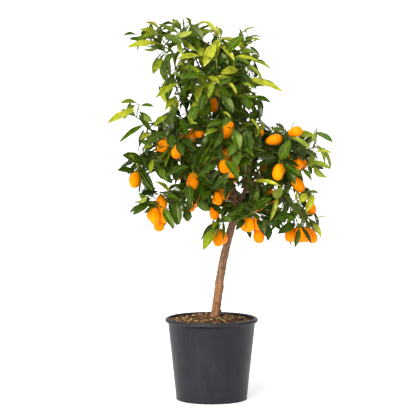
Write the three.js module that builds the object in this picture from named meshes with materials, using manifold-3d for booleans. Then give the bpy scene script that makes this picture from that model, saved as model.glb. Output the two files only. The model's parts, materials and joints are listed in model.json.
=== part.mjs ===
// A kumquat tree, about 0.92 m high, grown as a small standard in a round plastic nursery pot.
// Millimetres, +Z up. The origin is the centre of the pot's flat underside, and the front is towards -Y.
import * as THREE from 'three';
import { mergeVertices } from 'three/addons/utils/BufferGeometryUtils.js';
import Module from 'manifold-3d';

const wasm = await Module();
wasm.setup();

// ---- Driving dimensions ----
const GAP = 0.35; // left between neighbouring solids

const POT = {
  height: 195,
  baseRadius: 84,
  neckRadius: 103, // the wall's outside, just under the rim
  rimRadius: 110,
  rimDepth: 11,
  wall: 2,
  floor: 3,
  footChamfer: 4,
  sides: 24,
};
const DRAIN = { count: 12, width: 9, height: 4, reach: 8 }; // slots in the corner of wall and floor
const SOIL = { edgeDrop: 11, crest: 194, crestRadius: 22, slope: 62, ripple: 1.6 };

const FOOT = new THREE.Vector2(8, 10); // where the trunk stands on the soil, in a flat cut
const TRUNK = {
  path: [
    [7.5, 10, 186], [13, 9, 247], [17.6, 8, 286], [31, 6, 348], [45, 3, 415], [56, 1, 442], [60, 0, 476],
  ],
  footRadius: 10.8,
  topRadius: 8.8,
  flare: 4.2, // how far the root flare stands out at the soil
  flareHeight: 16,
};

// The main limbs: the parent, how far up it they start, the points that each runs through, and its radii.
const LIMBS = {
  leader: {
    from: 'trunk', at: 0.985, base: 7.6, end: 2.6,
    path: [[53, 2, 494], [46, 5, 515], [34, 8, 550], [25, 8, 600], [20, 5, 660], [17, 0, 720], [14, 0, 775]],
  },
  right_limb: {
    from: 'trunk', at: 0.95, past: 'leader', base: 5.6, end: 2.4,
    path: [[76, -2, 492], [86, -4, 525], [86, -6, 580], [82, -4, 640], [76, 0, 700], [74, 0, 775]],
  },
  upper_left_limb: {
    from: 'leader', at: 0.32, base: 4.2, end: 2.2,
    path: [[-16, 2, 612], [-50, 0, 662], [-66, 0, 710], [-76, -2, 755], [-88, -4, 800]],
  },
  left_arm: {
    from: 'leader', at: 0.1, base: 5, end: 2.3,
    path: [[12, -2, 540], [-40, -8, 572], [-84, -10, 586], [-122, -12, 586]],
  },
  right_arm: {
    from: 'right_limb', at: 0.1, base: 4.4, end: 2.3,
    path: [[106, -2, 520], [132, -2, 545], [152, -4, 560]],
  },
};

// A leaf stands for two or three real ones, and is a little larger. Widths are shares of the length.
const LEAF = {
  length: 76, youngLength: 80, width: 0.38, youngWidth: 0.34, hang: 0.45, youngHang: 0.25, bend: 0.35, tries: 12,
};
const TWIG = { base: 1.3, tip: 1.1, leafFrom: 0.25 };
const STEM = { end: 1.9, past: 1.15 }; // past: how far it runs, where 1 is the middle of its mass
const BOUGH = { most: 4, end: 2.1, share: 0.62, enter: 0.72 }; // enter: where it stops, as a share of the reach
const FRUIT = { length: 38, width: 24.5, stalk: 7, stalkRadius: 1.2 };
const BUNCH = { // by the number of fruit in it
  spread: [0, 0, 8, 10, 12, 14], // how far each fruit hangs from the middle
  lean: [0, 0.12, 0.28, 0.33, 0.38, 0.42],
  nudges: [0, 7, 14, 21], // tries, towards the middle of its mass, until all of the fruit fits
};
const TWIGS = { young: 6, other: 3, least: 2 }; // in each mass; a fruiting twig takes the place of a plain one
const LEAVES = { onTwig: 5, onStem: 8, onFruiting: 2 };
const CROWN_EDGE = 1.16; // leaf tips may stand this far out, as a share of a mass's reach
const SEED = 7919;

// The masses of foliage. Each has the limb that carries it, how far along, its centre and its reach along
// X, Y and Z. bow arches its bough, as a share of its length. A mass at 1 grows from the tip of its limb and has
// no bough of its own.
const MASSES = {
  top_left: { from: 'upper_left_limb', at: 1, centre: [-142, -5, 848], reach: [54, 58, 50], young: true },
  top_middle: { from: 'leader', at: 0.8, centre: [-62, 5, 854], reach: [56, 62, 56], young: true },
  top_centre: { from: 'leader', at: 1, centre: [10, 5, 850], reach: [60, 64, 54], young: true },
  top_right: { from: 'right_limb', at: 1, centre: [70, 0, 830], reach: [50, 62, 60], young: true },
  upper_left: { from: 'upper_left_limb', at: 0.62, centre: [-92, 0, 752], reach: [50, 64, 60], young: true },
  upper_front: { from: 'leader', at: 0.62, centre: [-14, -66, 760], reach: [68, 64, 66], young: true },
  upper_back: { from: 'leader', at: 0.6, centre: [10, 76, 766], reach: [84, 68, 70], young: true },
  upper_right: { from: 'right_limb', at: 0.74, centre: [100, -4, 758], reach: [62, 68, 62], young: true },
  mid_left: { from: 'upper_left_limb', at: 0.36, centre: [-84, -20, 680], reach: [56, 68, 56] },
  left_shoot: { from: 'left_arm', at: 0.72, centre: [-180, 0, 672], reach: [62, 52, 56], young: true },
  mid_front: { from: 'leader', at: 0.42, centre: [4, -92, 660], reach: [68, 68, 62] },
  mid_right: { from: 'right_limb', at: 0.52, centre: [104, -30, 672], reach: [62, 68, 56] },
  mid_back: { from: 'leader', at: 0.38, centre: [24, 100, 664], reach: [94, 76, 66] },
  left_wing: { from: 'left_arm', at: 1, centre: [-160, -12, 566], reach: [60, 76, 62] },
  left_front: { from: 'left_arm', at: 0.4, centre: [-84, -70, 594], reach: [64, 72, 64] },
  left_low: { from: 'left_arm', at: 0.25, centre: [-120, -40, 470], reach: [68, 72, 72], bow: 0.2 },
  centre_front: { from: 'leader', at: 0.05, centre: [-20, -92, 524], reach: [68, 68, 64] },
  low_sprig: { from: 'trunk', at: 0.86, centre: [6, -44, 428], reach: [40, 50, 60], bow: 0.2 },
  right_front: { from: 'right_limb', at: 0.2, centre: [58, -108, 576], reach: [68, 70, 68] },
  right_under: { from: 'trunk', at: 0.93, centre: [98, -66, 454], reach: [60, 68, 70], bow: 0.2 },
  right_wing: { from: 'right_arm', at: 1, centre: [174, -12, 588], reach: [74, 86, 74] },
  right_shoot: { from: 'right_arm', at: 0.75, centre: [238, 4, 598], reach: [50, 58, 64], young: true },
  right_low: { from: 'right_arm', at: 0.45, centre: [198, -36, 464], reach: [70, 72, 84], bow: 0.2 },
  back_left: { from: 'left_arm', at: 0.2, centre: [-96, 92, 578], reach: [92, 86, 86] },
  back_centre: { from: 'leader', at: 0.16, centre: [20, 146, 556], reach: [86, 74, 86] },
  back_right: { from: 'right_limb', at: 0.16, centre: [138, 108, 570], reach: [92, 86, 86] },
  back_low_left: { from: 'trunk', at: 0.97, centre: [-36, 80, 468], reach: [74, 70, 60], bow: 0.15 },
  back_low_right: { from: 'trunk', at: 0.9, centre: [106, 78, 458], reach: [76, 70, 64], bow: 0.15 },
};

// Where the fruit hangs: the end of each fruiting twig, and how many hang there.
const BUNCHES = [
  [-182, -36, 556, 1], [-130, -58, 478, 5], [-114, -76, 638, 1], [-84, -90, 606, 1], [-58, -70, 654, 1],
  [-34, -84, 664, 1], [36, -104, 690, 1], [0, -66, 730, 1], [-46, -90, 566, 1], [-42, -72, 512, 1],
  [12, -88, 522, 1], [4, -56, 474, 1], [14, -52, 420, 3],
  [26, -118, 590, 1], [48, -104, 582, 2], [30, -68, 612, 1], [102, -66, 664, 1], [148, -52, 646, 1],
  [194, -36, 656, 1], [158, -74, 582, 2], [204, -50, 590, 2], [208, -44, 530, 1], [136, -52, 512, 1],
  [92, -84, 478, 3], [126, -76, 446, 2], [202, -58, 432, 4], [240, -38, 440, 1], [238, -10, 496, 1],
  [-118, 120, 600, 2], [-84, 132, 556, 1], [-2, 170, 592, 2], [50, 168, 546, 1], [176, 130, 600, 2],
  [126, 138, 556, 1], [-44, 100, 482, 2], [118, 98, 472, 2], [30, 132, 686, 1],
];

const COLOURS = { pot: 0x35363b, soil: 0x5b4130, bark: 0x7d6048, young: 0x8aa02c, leaf: 0x39551f };

// ---- Small helpers ----
const UP = new THREE.Vector3(0, 0, 1);
const GOLDEN = Math.PI * (3 - Math.sqrt(5));
const vector = (list) => new THREE.Vector3(...list);
const mix = (a, b, t) => a + (b - a) * t;

// A seeded stream of numbers from 0 to 1.
function seeded(seed) {
  let state = seed;
  return () => {
    state = (state * 48271) % 2147483647;
    return state / 2147483647;
  };
}

function solidOf(geometry) {
  const bare = geometry.clone();
  bare.deleteAttribute('normal');
  bare.deleteAttribute('uv');
  const merged = mergeVertices(bare, 1e-3);
  return new wasm.Manifold(new wasm.Mesh({
    numProp: 3,
    vertProperties: merged.attributes.position.array,
    triVerts: new Uint32Array(merged.index.array),
  }));
}

function geometryOf(solid) {
  const mesh = solid.getMesh();
  const geometry = new THREE.BufferGeometry();
  geometry.setAttribute('position', new THREE.BufferAttribute(mesh.vertProperties, 3));
  geometry.setIndex(new THREE.BufferAttribute(mesh.triVerts, 1));
  geometry.computeVertexNormals();
  return geometry;
}

// The largest piece of a solid: loose scraps and the walls of sealed hollows are left behind.
function wholePiece(solid) {
  return solid.decompose().reduce((most, piece) => (piece.volume() > most.volume() ? piece : most));
}

function smoothCurve(points) {
  return new THREE.CatmullRomCurve3(points, false, 'catmullrom', 0.5);
}

// Moves each corner of a geometry by a rule, in place.
function reshape(geometry, rule) {
  const corners = geometry.attributes.position;
  for (let i = 0; i < corners.count; i++) {
    const moved = rule(new THREE.Vector3().fromBufferAttribute(corners, i));
    corners.setXYZ(i, moved.x, moved.y, moved.z);
  }
  return geometry;
}

// A closed round bar bent along a curve, with its own radius at each step.
function bar(curve, radiusAt, sides, rings) {
  const { normals, binormals } = curve.computeFrenetFrames(rings, false);
  return reshape(new THREE.CylinderGeometry(1, 1, 1, sides, rings), (corner) => {
    const ring = Math.round((corner.y + 0.5) * rings);
    const radius = radiusAt(ring / rings);
    return curve.getPointAt(ring / rings)
      .addScaledVector(normals[ring], corner.x * radius)
      .addScaledVector(binormals[ring], -corner.z * radius);
  });
}

// ---- Pot and soil ----
function lathe(profile) {
  const points = profile.map(([radius, height]) => new THREE.Vector2(radius, height));
  return new THREE.LatheGeometry(points, POT.sides).rotateX(Math.PI / 2);
}

const LIP = POT.height - 3.5; // where the inside of the wall meets the roll of the rim
const innerRadius = (height) => mix(POT.baseRadius, POT.neckRadius, height / LIP) - POT.wall;

function potSolid() {
  const { height, baseRadius, neckRadius, rimRadius, rimDepth, floor, footChamfer } = POT;
  const shell = lathe([
    [0, 0], [baseRadius - footChamfer, 0], [baseRadius, footChamfer],
    [neckRadius, height - rimDepth], [rimRadius, height - rimDepth + 1.5], [rimRadius, height - 3.5],
    [rimRadius - 3, height], [neckRadius + 1.5, height],
    [innerRadius(LIP), LIP], [innerRadius(floor), floor], [0, floor],
  ]);
  const slot = new THREE.BoxGeometry(2 * DRAIN.reach, DRAIN.width, DRAIN.height);
  slot.translate(baseRadius + DRAIN.reach / 2, 0, DRAIN.height / 2 + 1);
  const slots = Array.from({ length: DRAIN.count }, (_, i) => (
    solidOf(slot.clone().rotateZ(((i + 0.5) * 2 * Math.PI) / DRAIN.count))
  ));
  return solidOf(shell).subtract(wasm.Manifold.union(slots));
}

// The soil is heaped against the trunk's foot and falls to the wall in low ripples.
function soilHeight(x, y) {
  const beyond = Math.max(0, Math.hypot(x - FOOT.x, y - FOOT.y) - SOIL.crestRadius);
  const fall = 1 - Math.min(1, beyond / SOIL.slope);
  const ripple = SOIL.ripple * Math.sin(x / 11) * Math.cos(y / 9) * Math.min(1, beyond / 20);
  return mix(POT.height - SOIL.edgeDrop, SOIL.crest, fall * fall * (3 - 2 * fall)) - Math.abs(ripple);
}

function soilGeometry() {
  const top = POT.height - SOIL.edgeDrop;
  const foot = POT.floor + GAP;
  const rings = [0.76, 0.48, 0.22].map((share) => [share * innerRadius(top), top]);
  const block = lathe([
    [0, foot], [innerRadius(foot) - GAP, foot], [innerRadius(top) - 2 * GAP, top], ...rings, [0, top],
  ]);
  return reshape(block, (corner) => {
    const onTop = corner.z > top - 1 && Math.hypot(corner.x, corner.y) < innerRadius(top) - 3;
    return onTop ? corner.setZ(soilHeight(corner.x, corner.y)) : corner;
  });
}

// ---- Trunk, limbs and boughs ----
// Each is kept as its centre line, a rule for its radius and the names of the limbs that it starts against.
const wood = {};

function addWood(name, curve, radiusAt, sides, rings, ...neighbours) {
  wood[name] = { name, curve, radiusAt, sides, rings, neighbours };
}

function woodSolid({ curve, radiusAt, sides, rings }, swell = 0) {
  const grown = solidOf(bar(curve, (t) => radiusAt(t) + swell, sides, rings));
  if (!swell) return grown;
  // The swollen form also reaches past the flat end, so that a child keeps clear of that face too.
  const end = curve.getPointAt(1);
  const out = curve.getTangentAt(1).multiplyScalar(swell);
  const past = new THREE.CatmullRomCurve3([end.clone().sub(out), end.clone().add(out)]);
  return grown.add(solidOf(bar(past, () => radiusAt(1) + swell, sides, 1)));
}

const trunkLine = smoothCurve(TRUNK.path.map(vector));
addWood('trunk', trunkLine, (t) => {
  const height = t * trunkLine.getLength() - (SOIL.crest - TRUNK.path[0][2]);
  const flare = TRUNK.flare * THREE.MathUtils.clamp(1 - height / TRUNK.flareHeight, 0, 1) ** 1.6;
  return mix(TRUNK.footRadius, TRUNK.topRadius, t) + flare;
}, 9, 15);

for (const [name, { from, at, past, base, end, path }] of Object.entries(LIMBS)) {
  const line = smoothCurve([wood[from].curve.getPointAt(at), ...path.map(vector)]);
  addWood(name, line, (t) => mix(base, end, t), 6, 3 + path.length, from, ...(past ? [past] : []));
}

// Space: a mass owns the points in its reach that are nearer to it, by power distance, than to any other.
for (const [name, mass] of Object.entries(MASSES)) {
  mass.name = name;
  mass.centre = vector(mass.centre);
  mass.reach = vector(mass.reach);
  mass.size = (mass.reach.x + mass.reach.y + mass.reach.z) / 3;
  mass.bunches = [];
}
const masses = Object.values(MASSES);
const power = (point, mass) => point.distanceToSquared(mass.centre) - mass.size ** 2;

function ownedBy(point, mass, border) {
  const own = power(point, mass);
  return masses.every((other) => (
    other === mass || power(point, other) - own > 2 * border * mass.centre.distanceTo(other.centre)
  ));
}

// Each bunch belongs to the mass whose space its fruit hangs in.
for (const [x, y, z, count] of BUNCHES) {
  const middle = new THREE.Vector3(x, y, z - FRUIT.stalk - 0.5 * FRUIT.length);
  const owner = masses.find((mass) => ownedBy(middle, mass, 0));
  owner.bunches.push({ place: new THREE.Vector3(x, y, z), count });
}

function inCrown(point) {
  return masses.some((mass) => point.clone().sub(mass.centre).divide(mass.reach).length() < CROWN_EDGE);
}

// A bough runs from its limb to where it enters the mass, arched by its bow.
function addBough(mass) {
  const parent = wood[mass.from];
  const start = parent.curve.getPointAt(mass.at);
  const inward = start.clone().sub(mass.centre).divide(mass.reach);
  const tip = inward.setLength(BOUGH.enter).multiply(mass.reach).add(mass.centre);
  const middle = start.clone().lerp(tip, 0.5).addScaledVector(UP, (mass.bow ?? -0.1) * start.distanceTo(tip));
  const base = Math.min(BOUGH.most, BOUGH.share * parent.radiusAt(mass.at));
  const name = mass.name + '_bough';
  addWood(name, smoothCurve([start, middle, tip]), (t) => mix(base, BOUGH.end, t), 4, 3, mass.from);
  return name;
}
for (const mass of masses) mass.carrier = mass.at === 1 ? mass.from : addBough(mass);

// Beads along every limb: foliage keeps clear of them.
const beads = Object.values(wood).flatMap(({ curve, radiusAt }) => {
  const count = Math.ceil(curve.getLength() / 4);
  return Array.from({ length: count + 1 }, (_, i) => ({
    point: curve.getPointAt(i / count), radius: radiusAt(i / count),
  }));
});
const clearOfWood = (points, margin) => points.every((point) => (
  beads.every((bead) => bead.point.distanceTo(point) > bead.radius + margin)
));

// ---- Foliage ----
// A leaf's midrib leaves its twig along heading and bends away from its upper face.
function leafForm(root, heading, length, width, roll) {
  const side = new THREE.Vector3().crossVectors(heading, UP).normalize().applyAxisAngle(heading, roll);
  const face = new THREE.Vector3().crossVectors(side, heading);
  const fall = heading.clone().addScaledVector(face, -LEAF.bend).normalize();
  const bend = root.clone().addScaledVector(heading, 0.5 * length);
  const tip = bend.clone().addScaledVector(fall, 0.5 * length);
  return { midrib: new THREE.QuadraticBezierCurve3(root, bend, tip), side, halfWidth: 0.5 * width * length };
}

const leafOutline = (t) => Math.sin(Math.PI * t ** 0.9) ** 0.75;

function onLeaf({ midrib, side, halfWidth }, t, across) {
  return midrib.getPoint(t).addScaledVector(side, across * halfWidth * leafOutline(t));
}

// Eight faces: the blade's upper side arches over the straight line from root to tip.
function leafSolid(form) {
  const corners = [[0, 0], [0.3, -1], [0.3, 1], [0.68, -1], [0.68, 1], [1, 0]].map(([t, across]) => (
    onLeaf(form, t, 1.08 * across)
  ));
  return wasm.Manifold.hull(corners.map(({ x, y, z }) => [x, y, z]));
}

function leafProbes(form) {
  const probes = [];
  for (let t = 0.2; t <= 1; t += 0.1) {
    for (const across of [-1, -0.5, 0, 0.5, 1]) probes.push(onLeaf(form, t, 1.05 * across));
  }
  return probes;
}

// Kumquat fruit: long and round-ended, fullest below the middle. The top pole is drawn up into its stalk.
const FRUIT_RINGS = [[0, 0], [0, 0.06], [0.2, 0.8], [0.6, 1.04], [0.92, 0.6], [1, 0]]; // along, across
function fruitGeometry({ twigEnd, top, hang, size }) {
  const turn = new THREE.Quaternion().setFromUnitVectors(new THREE.Vector3(0, -1, 0), hang);
  return reshape(new THREE.SphereGeometry(1, 5, 5), (corner) => {
    const band = Math.round((5 * Math.acos(THREE.MathUtils.clamp(corner.y, -1, 1))) / Math.PI);
    if (band === 0) return twigEnd.clone();
    const ring = Math.hypot(corner.x, corner.z) || 1;
    const [along, across] = FRUIT_RINGS[band];
    const radius = band === 1 ? FRUIT.stalkRadius : 0.54 * across * FRUIT.width * size;
    return new THREE.Vector3((corner.x / ring) * radius, -along * FRUIT.length * size, (corner.z / ring) * radius)
      .applyQuaternion(turn).add(top);
  });
}

// A broken line with segments of about one length: whatever starts on it starts inside its bar.
function brokenLine(...points) {
  const line = new THREE.CurvePath();
  points.slice(1).forEach((point, i) => line.add(new THREE.LineCurve3(points[i], point)));
  return { line, rings: points.length - 1 };
}

function twigSolid({ line, rings }, base, tip) {
  return solidOf(bar(line, (t) => mix(base, tip, t), 3, rings));
}

// A fruiting twig arches over under its load.
function archedTwig(start, end) {
  const crown = start.clone().lerp(end, 0.5).addScaledVector(UP, 0.07 * start.distanceTo(end));
  return brokenLine(start, crown, end);
}

// A mass's stem goes on from the end of its limb, then turns towards the middle of the mass and past it.
function stemOf(mass) {
  const carrier = wood[mass.carrier];
  const ahead = carrier.curve.getTangentAt(1);
  const root = carrier.curve.getPointAt(1).addScaledVector(ahead, GAP);
  const end = root.clone().lerp(mass.centre, STEM.past);
  const first = root.clone().addScaledVector(ahead, root.distanceTo(end) / 3);
  return brokenLine(root, first, first.clone().lerp(end, 0.5), end);
}

// What has grown in a mass so far is kept as beads with an owner: whatever grows later keeps clear of them,
// except that a leaf may start from the twig that owns it.
function beadsAlong(points, radius, owner) {
  return points.map((point) => ({ point, radius, owner }));
}
const clearOfGrown = (points, grown, owner, margin) => points.every((point) => (
  grown.every((bead) => bead.owner === owner || bead.point.distanceTo(point) > bead.radius + margin)
));

// The fruit of one bunch, hung round the end of its twig. Fruit that does not fit is left out.
function bunchAt(mass, place, draws, grown) {
  const count = draws.length;
  return draws.map(([turn, tilt, stretch], i) => {
    const angle = (i / count) * 2 * Math.PI + 0.4 * turn;
    const out = new THREE.Vector3(Math.cos(angle), Math.sin(angle), 0);
    const size = mix(0.9, 1.08, stretch);
    const hang = out.clone().multiplyScalar(BUNCH.lean[count] * mix(0.8, 1.2, tilt)).sub(UP).normalize();
    const top = place.clone().addScaledVector(out, BUNCH.spread[count]).addScaledVector(UP, -FRUIT.stalk);
    const core = [0.2, 0.4, 0.6, 0.8].map((share) => (
      top.clone().addScaledVector(hang, share * FRUIT.length * size)
    ));
    return { top, hang, size, core, radius: 0.5 * FRUIT.width * size };
  }).filter(({ core, radius }) => (
    core.every((p) => ownedBy(p, mass, radius)) && clearOfWood(core, radius - 1)
      && clearOfGrown(core, grown, 'none', radius - 1)
  ));
}

function placeBunch(mass, place, count, random, grown) {
  const draws = Array.from({ length: count }, () => [random(), random(), random()]);
  const inward = mass.centre.clone().sub(place).normalize();
  const tries = BUNCH.nudges.map((nudge) => {
    const end = place.clone().addScaledVector(inward, nudge);
    return { end, fruit: bunchAt(mass, end, draws, grown) };
  });
  return tries.reduce((best, next) => (next.fruit.length > best.fruit.length ? next : best));
}

function growLeaves(mass, line, owner, count, random, grown, pieces) {
  const phase = 2 * Math.PI * random();
  const [usual, width, hang] = mass.young
    ? [LEAF.youngLength, LEAF.youngWidth, LEAF.youngHang] : [LEAF.length, LEAF.width, LEAF.hang];
  for (let k = 0; k < count; k++) {
    const t = mix(TWIG.leafFrom, 0.97, k / (count - 1));
    const axis = line.getTangent(t);
    const sideways = new THREE.Vector3().crossVectors(axis, UP).normalize();
    const [stretch, spread, turnOver, droop] = [random(), random(), random(), random()];
    const open = mix(1.2, 0.5, t) + 0.3 * (spread - 0.5);
    const length = usual * mix(0.84, 1.14, stretch);
    for (let turn = 0; turn < LEAF.tries; turn++) {
      const out = sideways.clone().applyAxisAngle(axis, phase + (k + 2 * turn) * GOLDEN);
      const heading = axis.clone().multiplyScalar(Math.cos(open)).addScaledVector(out, Math.sin(open))
        .addScaledVector(UP, -2 * hang * droop).normalize();
      const shrunk = length * mix(1, 0.8, turn / LEAF.tries);
      const form = leafForm(line.getPoint(t), heading, shrunk, width, 2.6 * (turnOver - 0.5));
      const probes = leafProbes(form);
      const inside = probes.every((p) => inCrown(p) && ownedBy(p, mass, 0.5));
      if (!inside || !clearOfWood(probes, 2.5) || !clearOfGrown(probes, grown, owner, 1.5)) continue;
      grown.push(...beadsAlong(probes, 1.5, 'leaf'));
      pieces.push(leafSolid(form));
      break;
    }
  }
}

// One stem from the limb's tip, with fruiting twigs to the bunches and plain twigs spread through the mass.
function massSolid(mass, index) {
  const random = seeded(SEED * (index + 1));
  const stem = stemOf(mass);
  const pieces = [twigSolid(stem, wood[mass.carrier].radiusAt(1), STEM.end)];
  const grown = beadsAlong(stem.line.getSpacedPoints(10), STEM.end, 'stem');
  const twigs = [];

  mass.bunches.forEach(({ place, count }, i) => {
    const { end, fruit } = placeBunch(mass, place, count, random, grown);
    const twig = archedTwig(stem.line.getPoint(0.35 + 0.13 * i), end);
    pieces.push(twigSolid(twig, TWIG.base, TWIG.tip));
    grown.push(...beadsAlong(twig.line.getSpacedPoints(12), TWIG.base, place));
    twigs.push({ line: twig.line, owner: place, leaves: LEAVES.onFruiting });
    const twigEnd = twig.line.getPoint(0.98);
    for (const each of fruit) {
      grown.push(...beadsAlong(each.core, each.radius - 1, 'fruit'));
      pieces.push(solidOf(fruitGeometry({ twigEnd, ...each })));
    }
  });

  const count = Math.max(TWIGS.least, (mass.young ? TWIGS.young : TWIGS.other) - mass.bunches.length);
  for (let k = 0; k < count; k++) {
    const angle = k * GOLDEN + 2 * Math.PI * random();
    const rise = 1 - (2 * k + 1) / count;
    const level = Math.sqrt(1 - rise * rise);
    const way = new THREE.Vector3(level * Math.cos(angle), level * Math.sin(angle), rise);
    const tip = way.multiplyScalar(mix(0.3, 0.6, random())).multiply(mass.reach).add(mass.centre);
    const start = stem.line.getPoint(mix(1, 0.3, (k + 0.5) / count));
    const twig = brokenLine(start, tip);
    const outer = twig.line.getSpacedPoints(8).slice(3);
    const inside = outer.every((p) => ownedBy(p, mass, 2.5)) && clearOfWood(outer, 3);
    if (!inside || !clearOfGrown(outer, grown, 'none', 2.5)) continue;
    pieces.push(twigSolid(twig, TWIG.base, TWIG.tip));
    grown.push(...beadsAlong(twig.line.getSpacedPoints(8), TWIG.base, k));
    twigs.push({ line: twig.line, owner: k, leaves: LEAVES.onTwig });
  }

  twigs.push({ line: stem.line, owner: 'stem', leaves: LEAVES.onStem });
  for (const { line, owner, leaves } of twigs) growLeaves(mass, line, owner, leaves, random, grown, pieces);
  return wholePiece(wasm.Manifold.union(pieces));
}

// ---- The tree ----
const finishes = {
  pot: new THREE.MeshStandardMaterial({ color: COLOURS.pot, roughness: 0.45, metalness: 0 }),
  soil: new THREE.MeshStandardMaterial({ color: COLOURS.soil, roughness: 0.95, metalness: 0 }),
  bark: new THREE.MeshStandardMaterial({ color: COLOURS.bark, roughness: 0.85, metalness: 0 }),
  young: new THREE.MeshStandardMaterial({ color: COLOURS.young, roughness: 0.4, metalness: 0 }),
  leaf: new THREE.MeshStandardMaterial({ color: COLOURS.leaf, roughness: 0.35, metalness: 0 }),
};

const tree = new THREE.Group();

function addPiece(name, geometry, finish) {
  const mesh = new THREE.Mesh(geometry, finishes[finish]);
  mesh.name = name;
  tree.add(mesh);
}

addPiece('pot', geometryOf(potSolid()), 'pot');
addPiece('soil', soilGeometry(), 'soil');
for (const piece of Object.values(wood)) {
  const own = woodSolid(piece);
  const above = own.trimByPlane([0, 0, 1], SOIL.crest + GAP);
  const cut = piece.neighbours.reduce((rest, other) => rest.subtract(woodSolid(wood[other], GAP)), above);
  addPiece(piece.name, geometryOf(wholePiece(cut)), 'bark');
}
masses.forEach((mass, index) => {
  addPiece(mass.name, geometryOf(massSolid(mass, index)), mass.young ? 'young' : 'leaf');
});

export default tree;
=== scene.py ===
import json
import math

import bmesh
import bpy
import numpy as np
from mathutils import Matrix, Vector, noise
from mathutils.kdtree import KDTree

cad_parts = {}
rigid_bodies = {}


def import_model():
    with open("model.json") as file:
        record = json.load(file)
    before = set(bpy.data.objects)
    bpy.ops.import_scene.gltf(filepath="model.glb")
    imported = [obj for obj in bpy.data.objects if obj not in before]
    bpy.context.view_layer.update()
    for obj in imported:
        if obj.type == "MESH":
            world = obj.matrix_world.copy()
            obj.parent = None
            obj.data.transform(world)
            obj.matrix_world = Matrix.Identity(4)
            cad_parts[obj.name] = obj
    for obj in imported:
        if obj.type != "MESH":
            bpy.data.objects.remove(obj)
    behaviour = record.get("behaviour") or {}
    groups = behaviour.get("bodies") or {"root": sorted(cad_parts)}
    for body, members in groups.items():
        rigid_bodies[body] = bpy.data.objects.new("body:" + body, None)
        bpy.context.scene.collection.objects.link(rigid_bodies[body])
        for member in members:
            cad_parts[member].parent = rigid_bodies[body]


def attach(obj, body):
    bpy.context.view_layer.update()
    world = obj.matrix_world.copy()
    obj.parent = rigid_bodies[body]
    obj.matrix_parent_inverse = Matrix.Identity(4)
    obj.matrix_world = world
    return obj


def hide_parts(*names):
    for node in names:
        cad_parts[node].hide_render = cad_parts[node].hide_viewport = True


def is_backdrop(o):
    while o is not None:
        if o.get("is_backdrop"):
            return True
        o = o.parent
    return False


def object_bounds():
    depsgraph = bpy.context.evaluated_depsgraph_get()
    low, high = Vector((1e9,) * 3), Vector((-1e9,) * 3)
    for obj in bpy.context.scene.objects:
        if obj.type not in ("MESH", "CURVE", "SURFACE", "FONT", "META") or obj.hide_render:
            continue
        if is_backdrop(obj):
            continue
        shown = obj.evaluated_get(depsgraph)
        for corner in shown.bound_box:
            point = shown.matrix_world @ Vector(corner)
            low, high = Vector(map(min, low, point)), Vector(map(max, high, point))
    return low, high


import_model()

cad_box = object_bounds()
MM = 0.001

# ---- The stage ----
# A plain white studio: a wide pale floor, lit a little from below, and a low white wall far round it that
# gives no light. A soft key light shines from high on the left, and weaker ones from above, from low in front
# and from behind.
RING_POINTS = 64
RING_RADIUS = 40  # metres
RING_TOP = 4.6
EYE_ACROSS, EYE_BACK, EYE_UP = -8.6, 7000, 1150  # where the camera stands, in millimetres
scene = bpy.context.scene
scene.view_settings.view_transform = "Standard"
scene.world = bpy.data.worlds.new("surround")
scene.world.use_nodes = True
surround = scene.world.node_tree.nodes["Background"].inputs
surround["Color"].default_value = (1, 1, 1, 1)
surround["Strength"].default_value = 0.2


def in_scene(name, data):
    """A new object in the scene."""
    made = bpy.data.objects.new(name, data)
    scene.collection.objects.link(made)
    return made


def soft_light(name, place, width, strength, tint):
    """A wide far light that shines from a place towards the origin. Its width is the angle that it fills."""
    light = in_scene(name, bpy.data.lights.new(name, "SUN"))
    light.data.angle = math.radians(width)
    light.data.energy = strength
    light.data.color = tint
    light.location = place
    light.rotation_euler = (-Vector(place)).to_track_quat("-Z", "Y").to_euler()


soft_light("key_light", (-1.3, -2.8, 2.2), 34, 3.1, (1, 0.99, 0.97))
soft_light("top_light", (0.3, -0.4, 3), 80, 1.6, (1, 1, 1))
soft_light("front_light", (-1.9, -3, 0.4), 20, 1.3, (0.97, 0.98, 1))
soft_light("back_light", (0, 3, 0.7), 70, 0.9, (1, 1, 1))


def white_ground(name, points, faces, shade, glow):
    """A piece of the studio: a mesh painted a shade of white that also glows."""
    ground = in_scene(name, bpy.data.meshes.new(name))
    ground.data.from_pydata(points, [], faces)
    ground.data.materials.append(bpy.data.materials.new(name + "_white"))
    ground.data.materials[0].use_nodes = True
    shader = ground.data.materials[0].node_tree.nodes["Principled BSDF"]
    shader.inputs["Base Color"].default_value = (shade, shade, shade, 1)
    shader.inputs["Roughness"].default_value = 0.9
    shader.inputs["Emission Color"].default_value = (1, 1, 1, 1)
    shader.inputs["Emission Strength"].default_value = glow
    ground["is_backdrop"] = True
    return ground


white_ground("floor", [(-60, -60, 0), (60, -60, 0), (60, 60, 0), (-60, 60, 0)], [(0, 1, 2, 3)], 0.97, 0.35)
turns = [2 * math.pi * k / RING_POINTS for k in range(RING_POINTS)]
panels = [(k, (k + 1) % RING_POINTS) for k in range(RING_POINTS)]
backdrop = white_ground(
    "backdrop",
    [(RING_RADIUS * math.cos(a), RING_RADIUS * math.sin(a), z) for z in (-0.1, RING_TOP) for a in turns],
    [(after, k, RING_POINTS + k, RING_POINTS + after) for k, after in panels],
    0.9,
    1,
)
for ray in ("diffuse", "glossy", "transmission", "shadow"):
    setattr(backdrop, "visible_" + ray, False)

camera = in_scene("camera", bpy.data.cameras.new("camera"))
camera.data.lens = 258
camera.data.sensor_width = 36
camera.data.clip_end = 200
camera.location = (EYE_ACROSS * MM, -EYE_BACK * MM, EYE_UP * MM)
camera.rotation_euler = (math.radians(90 - 5.664), 0, 0)
scene.camera = camera

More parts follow.
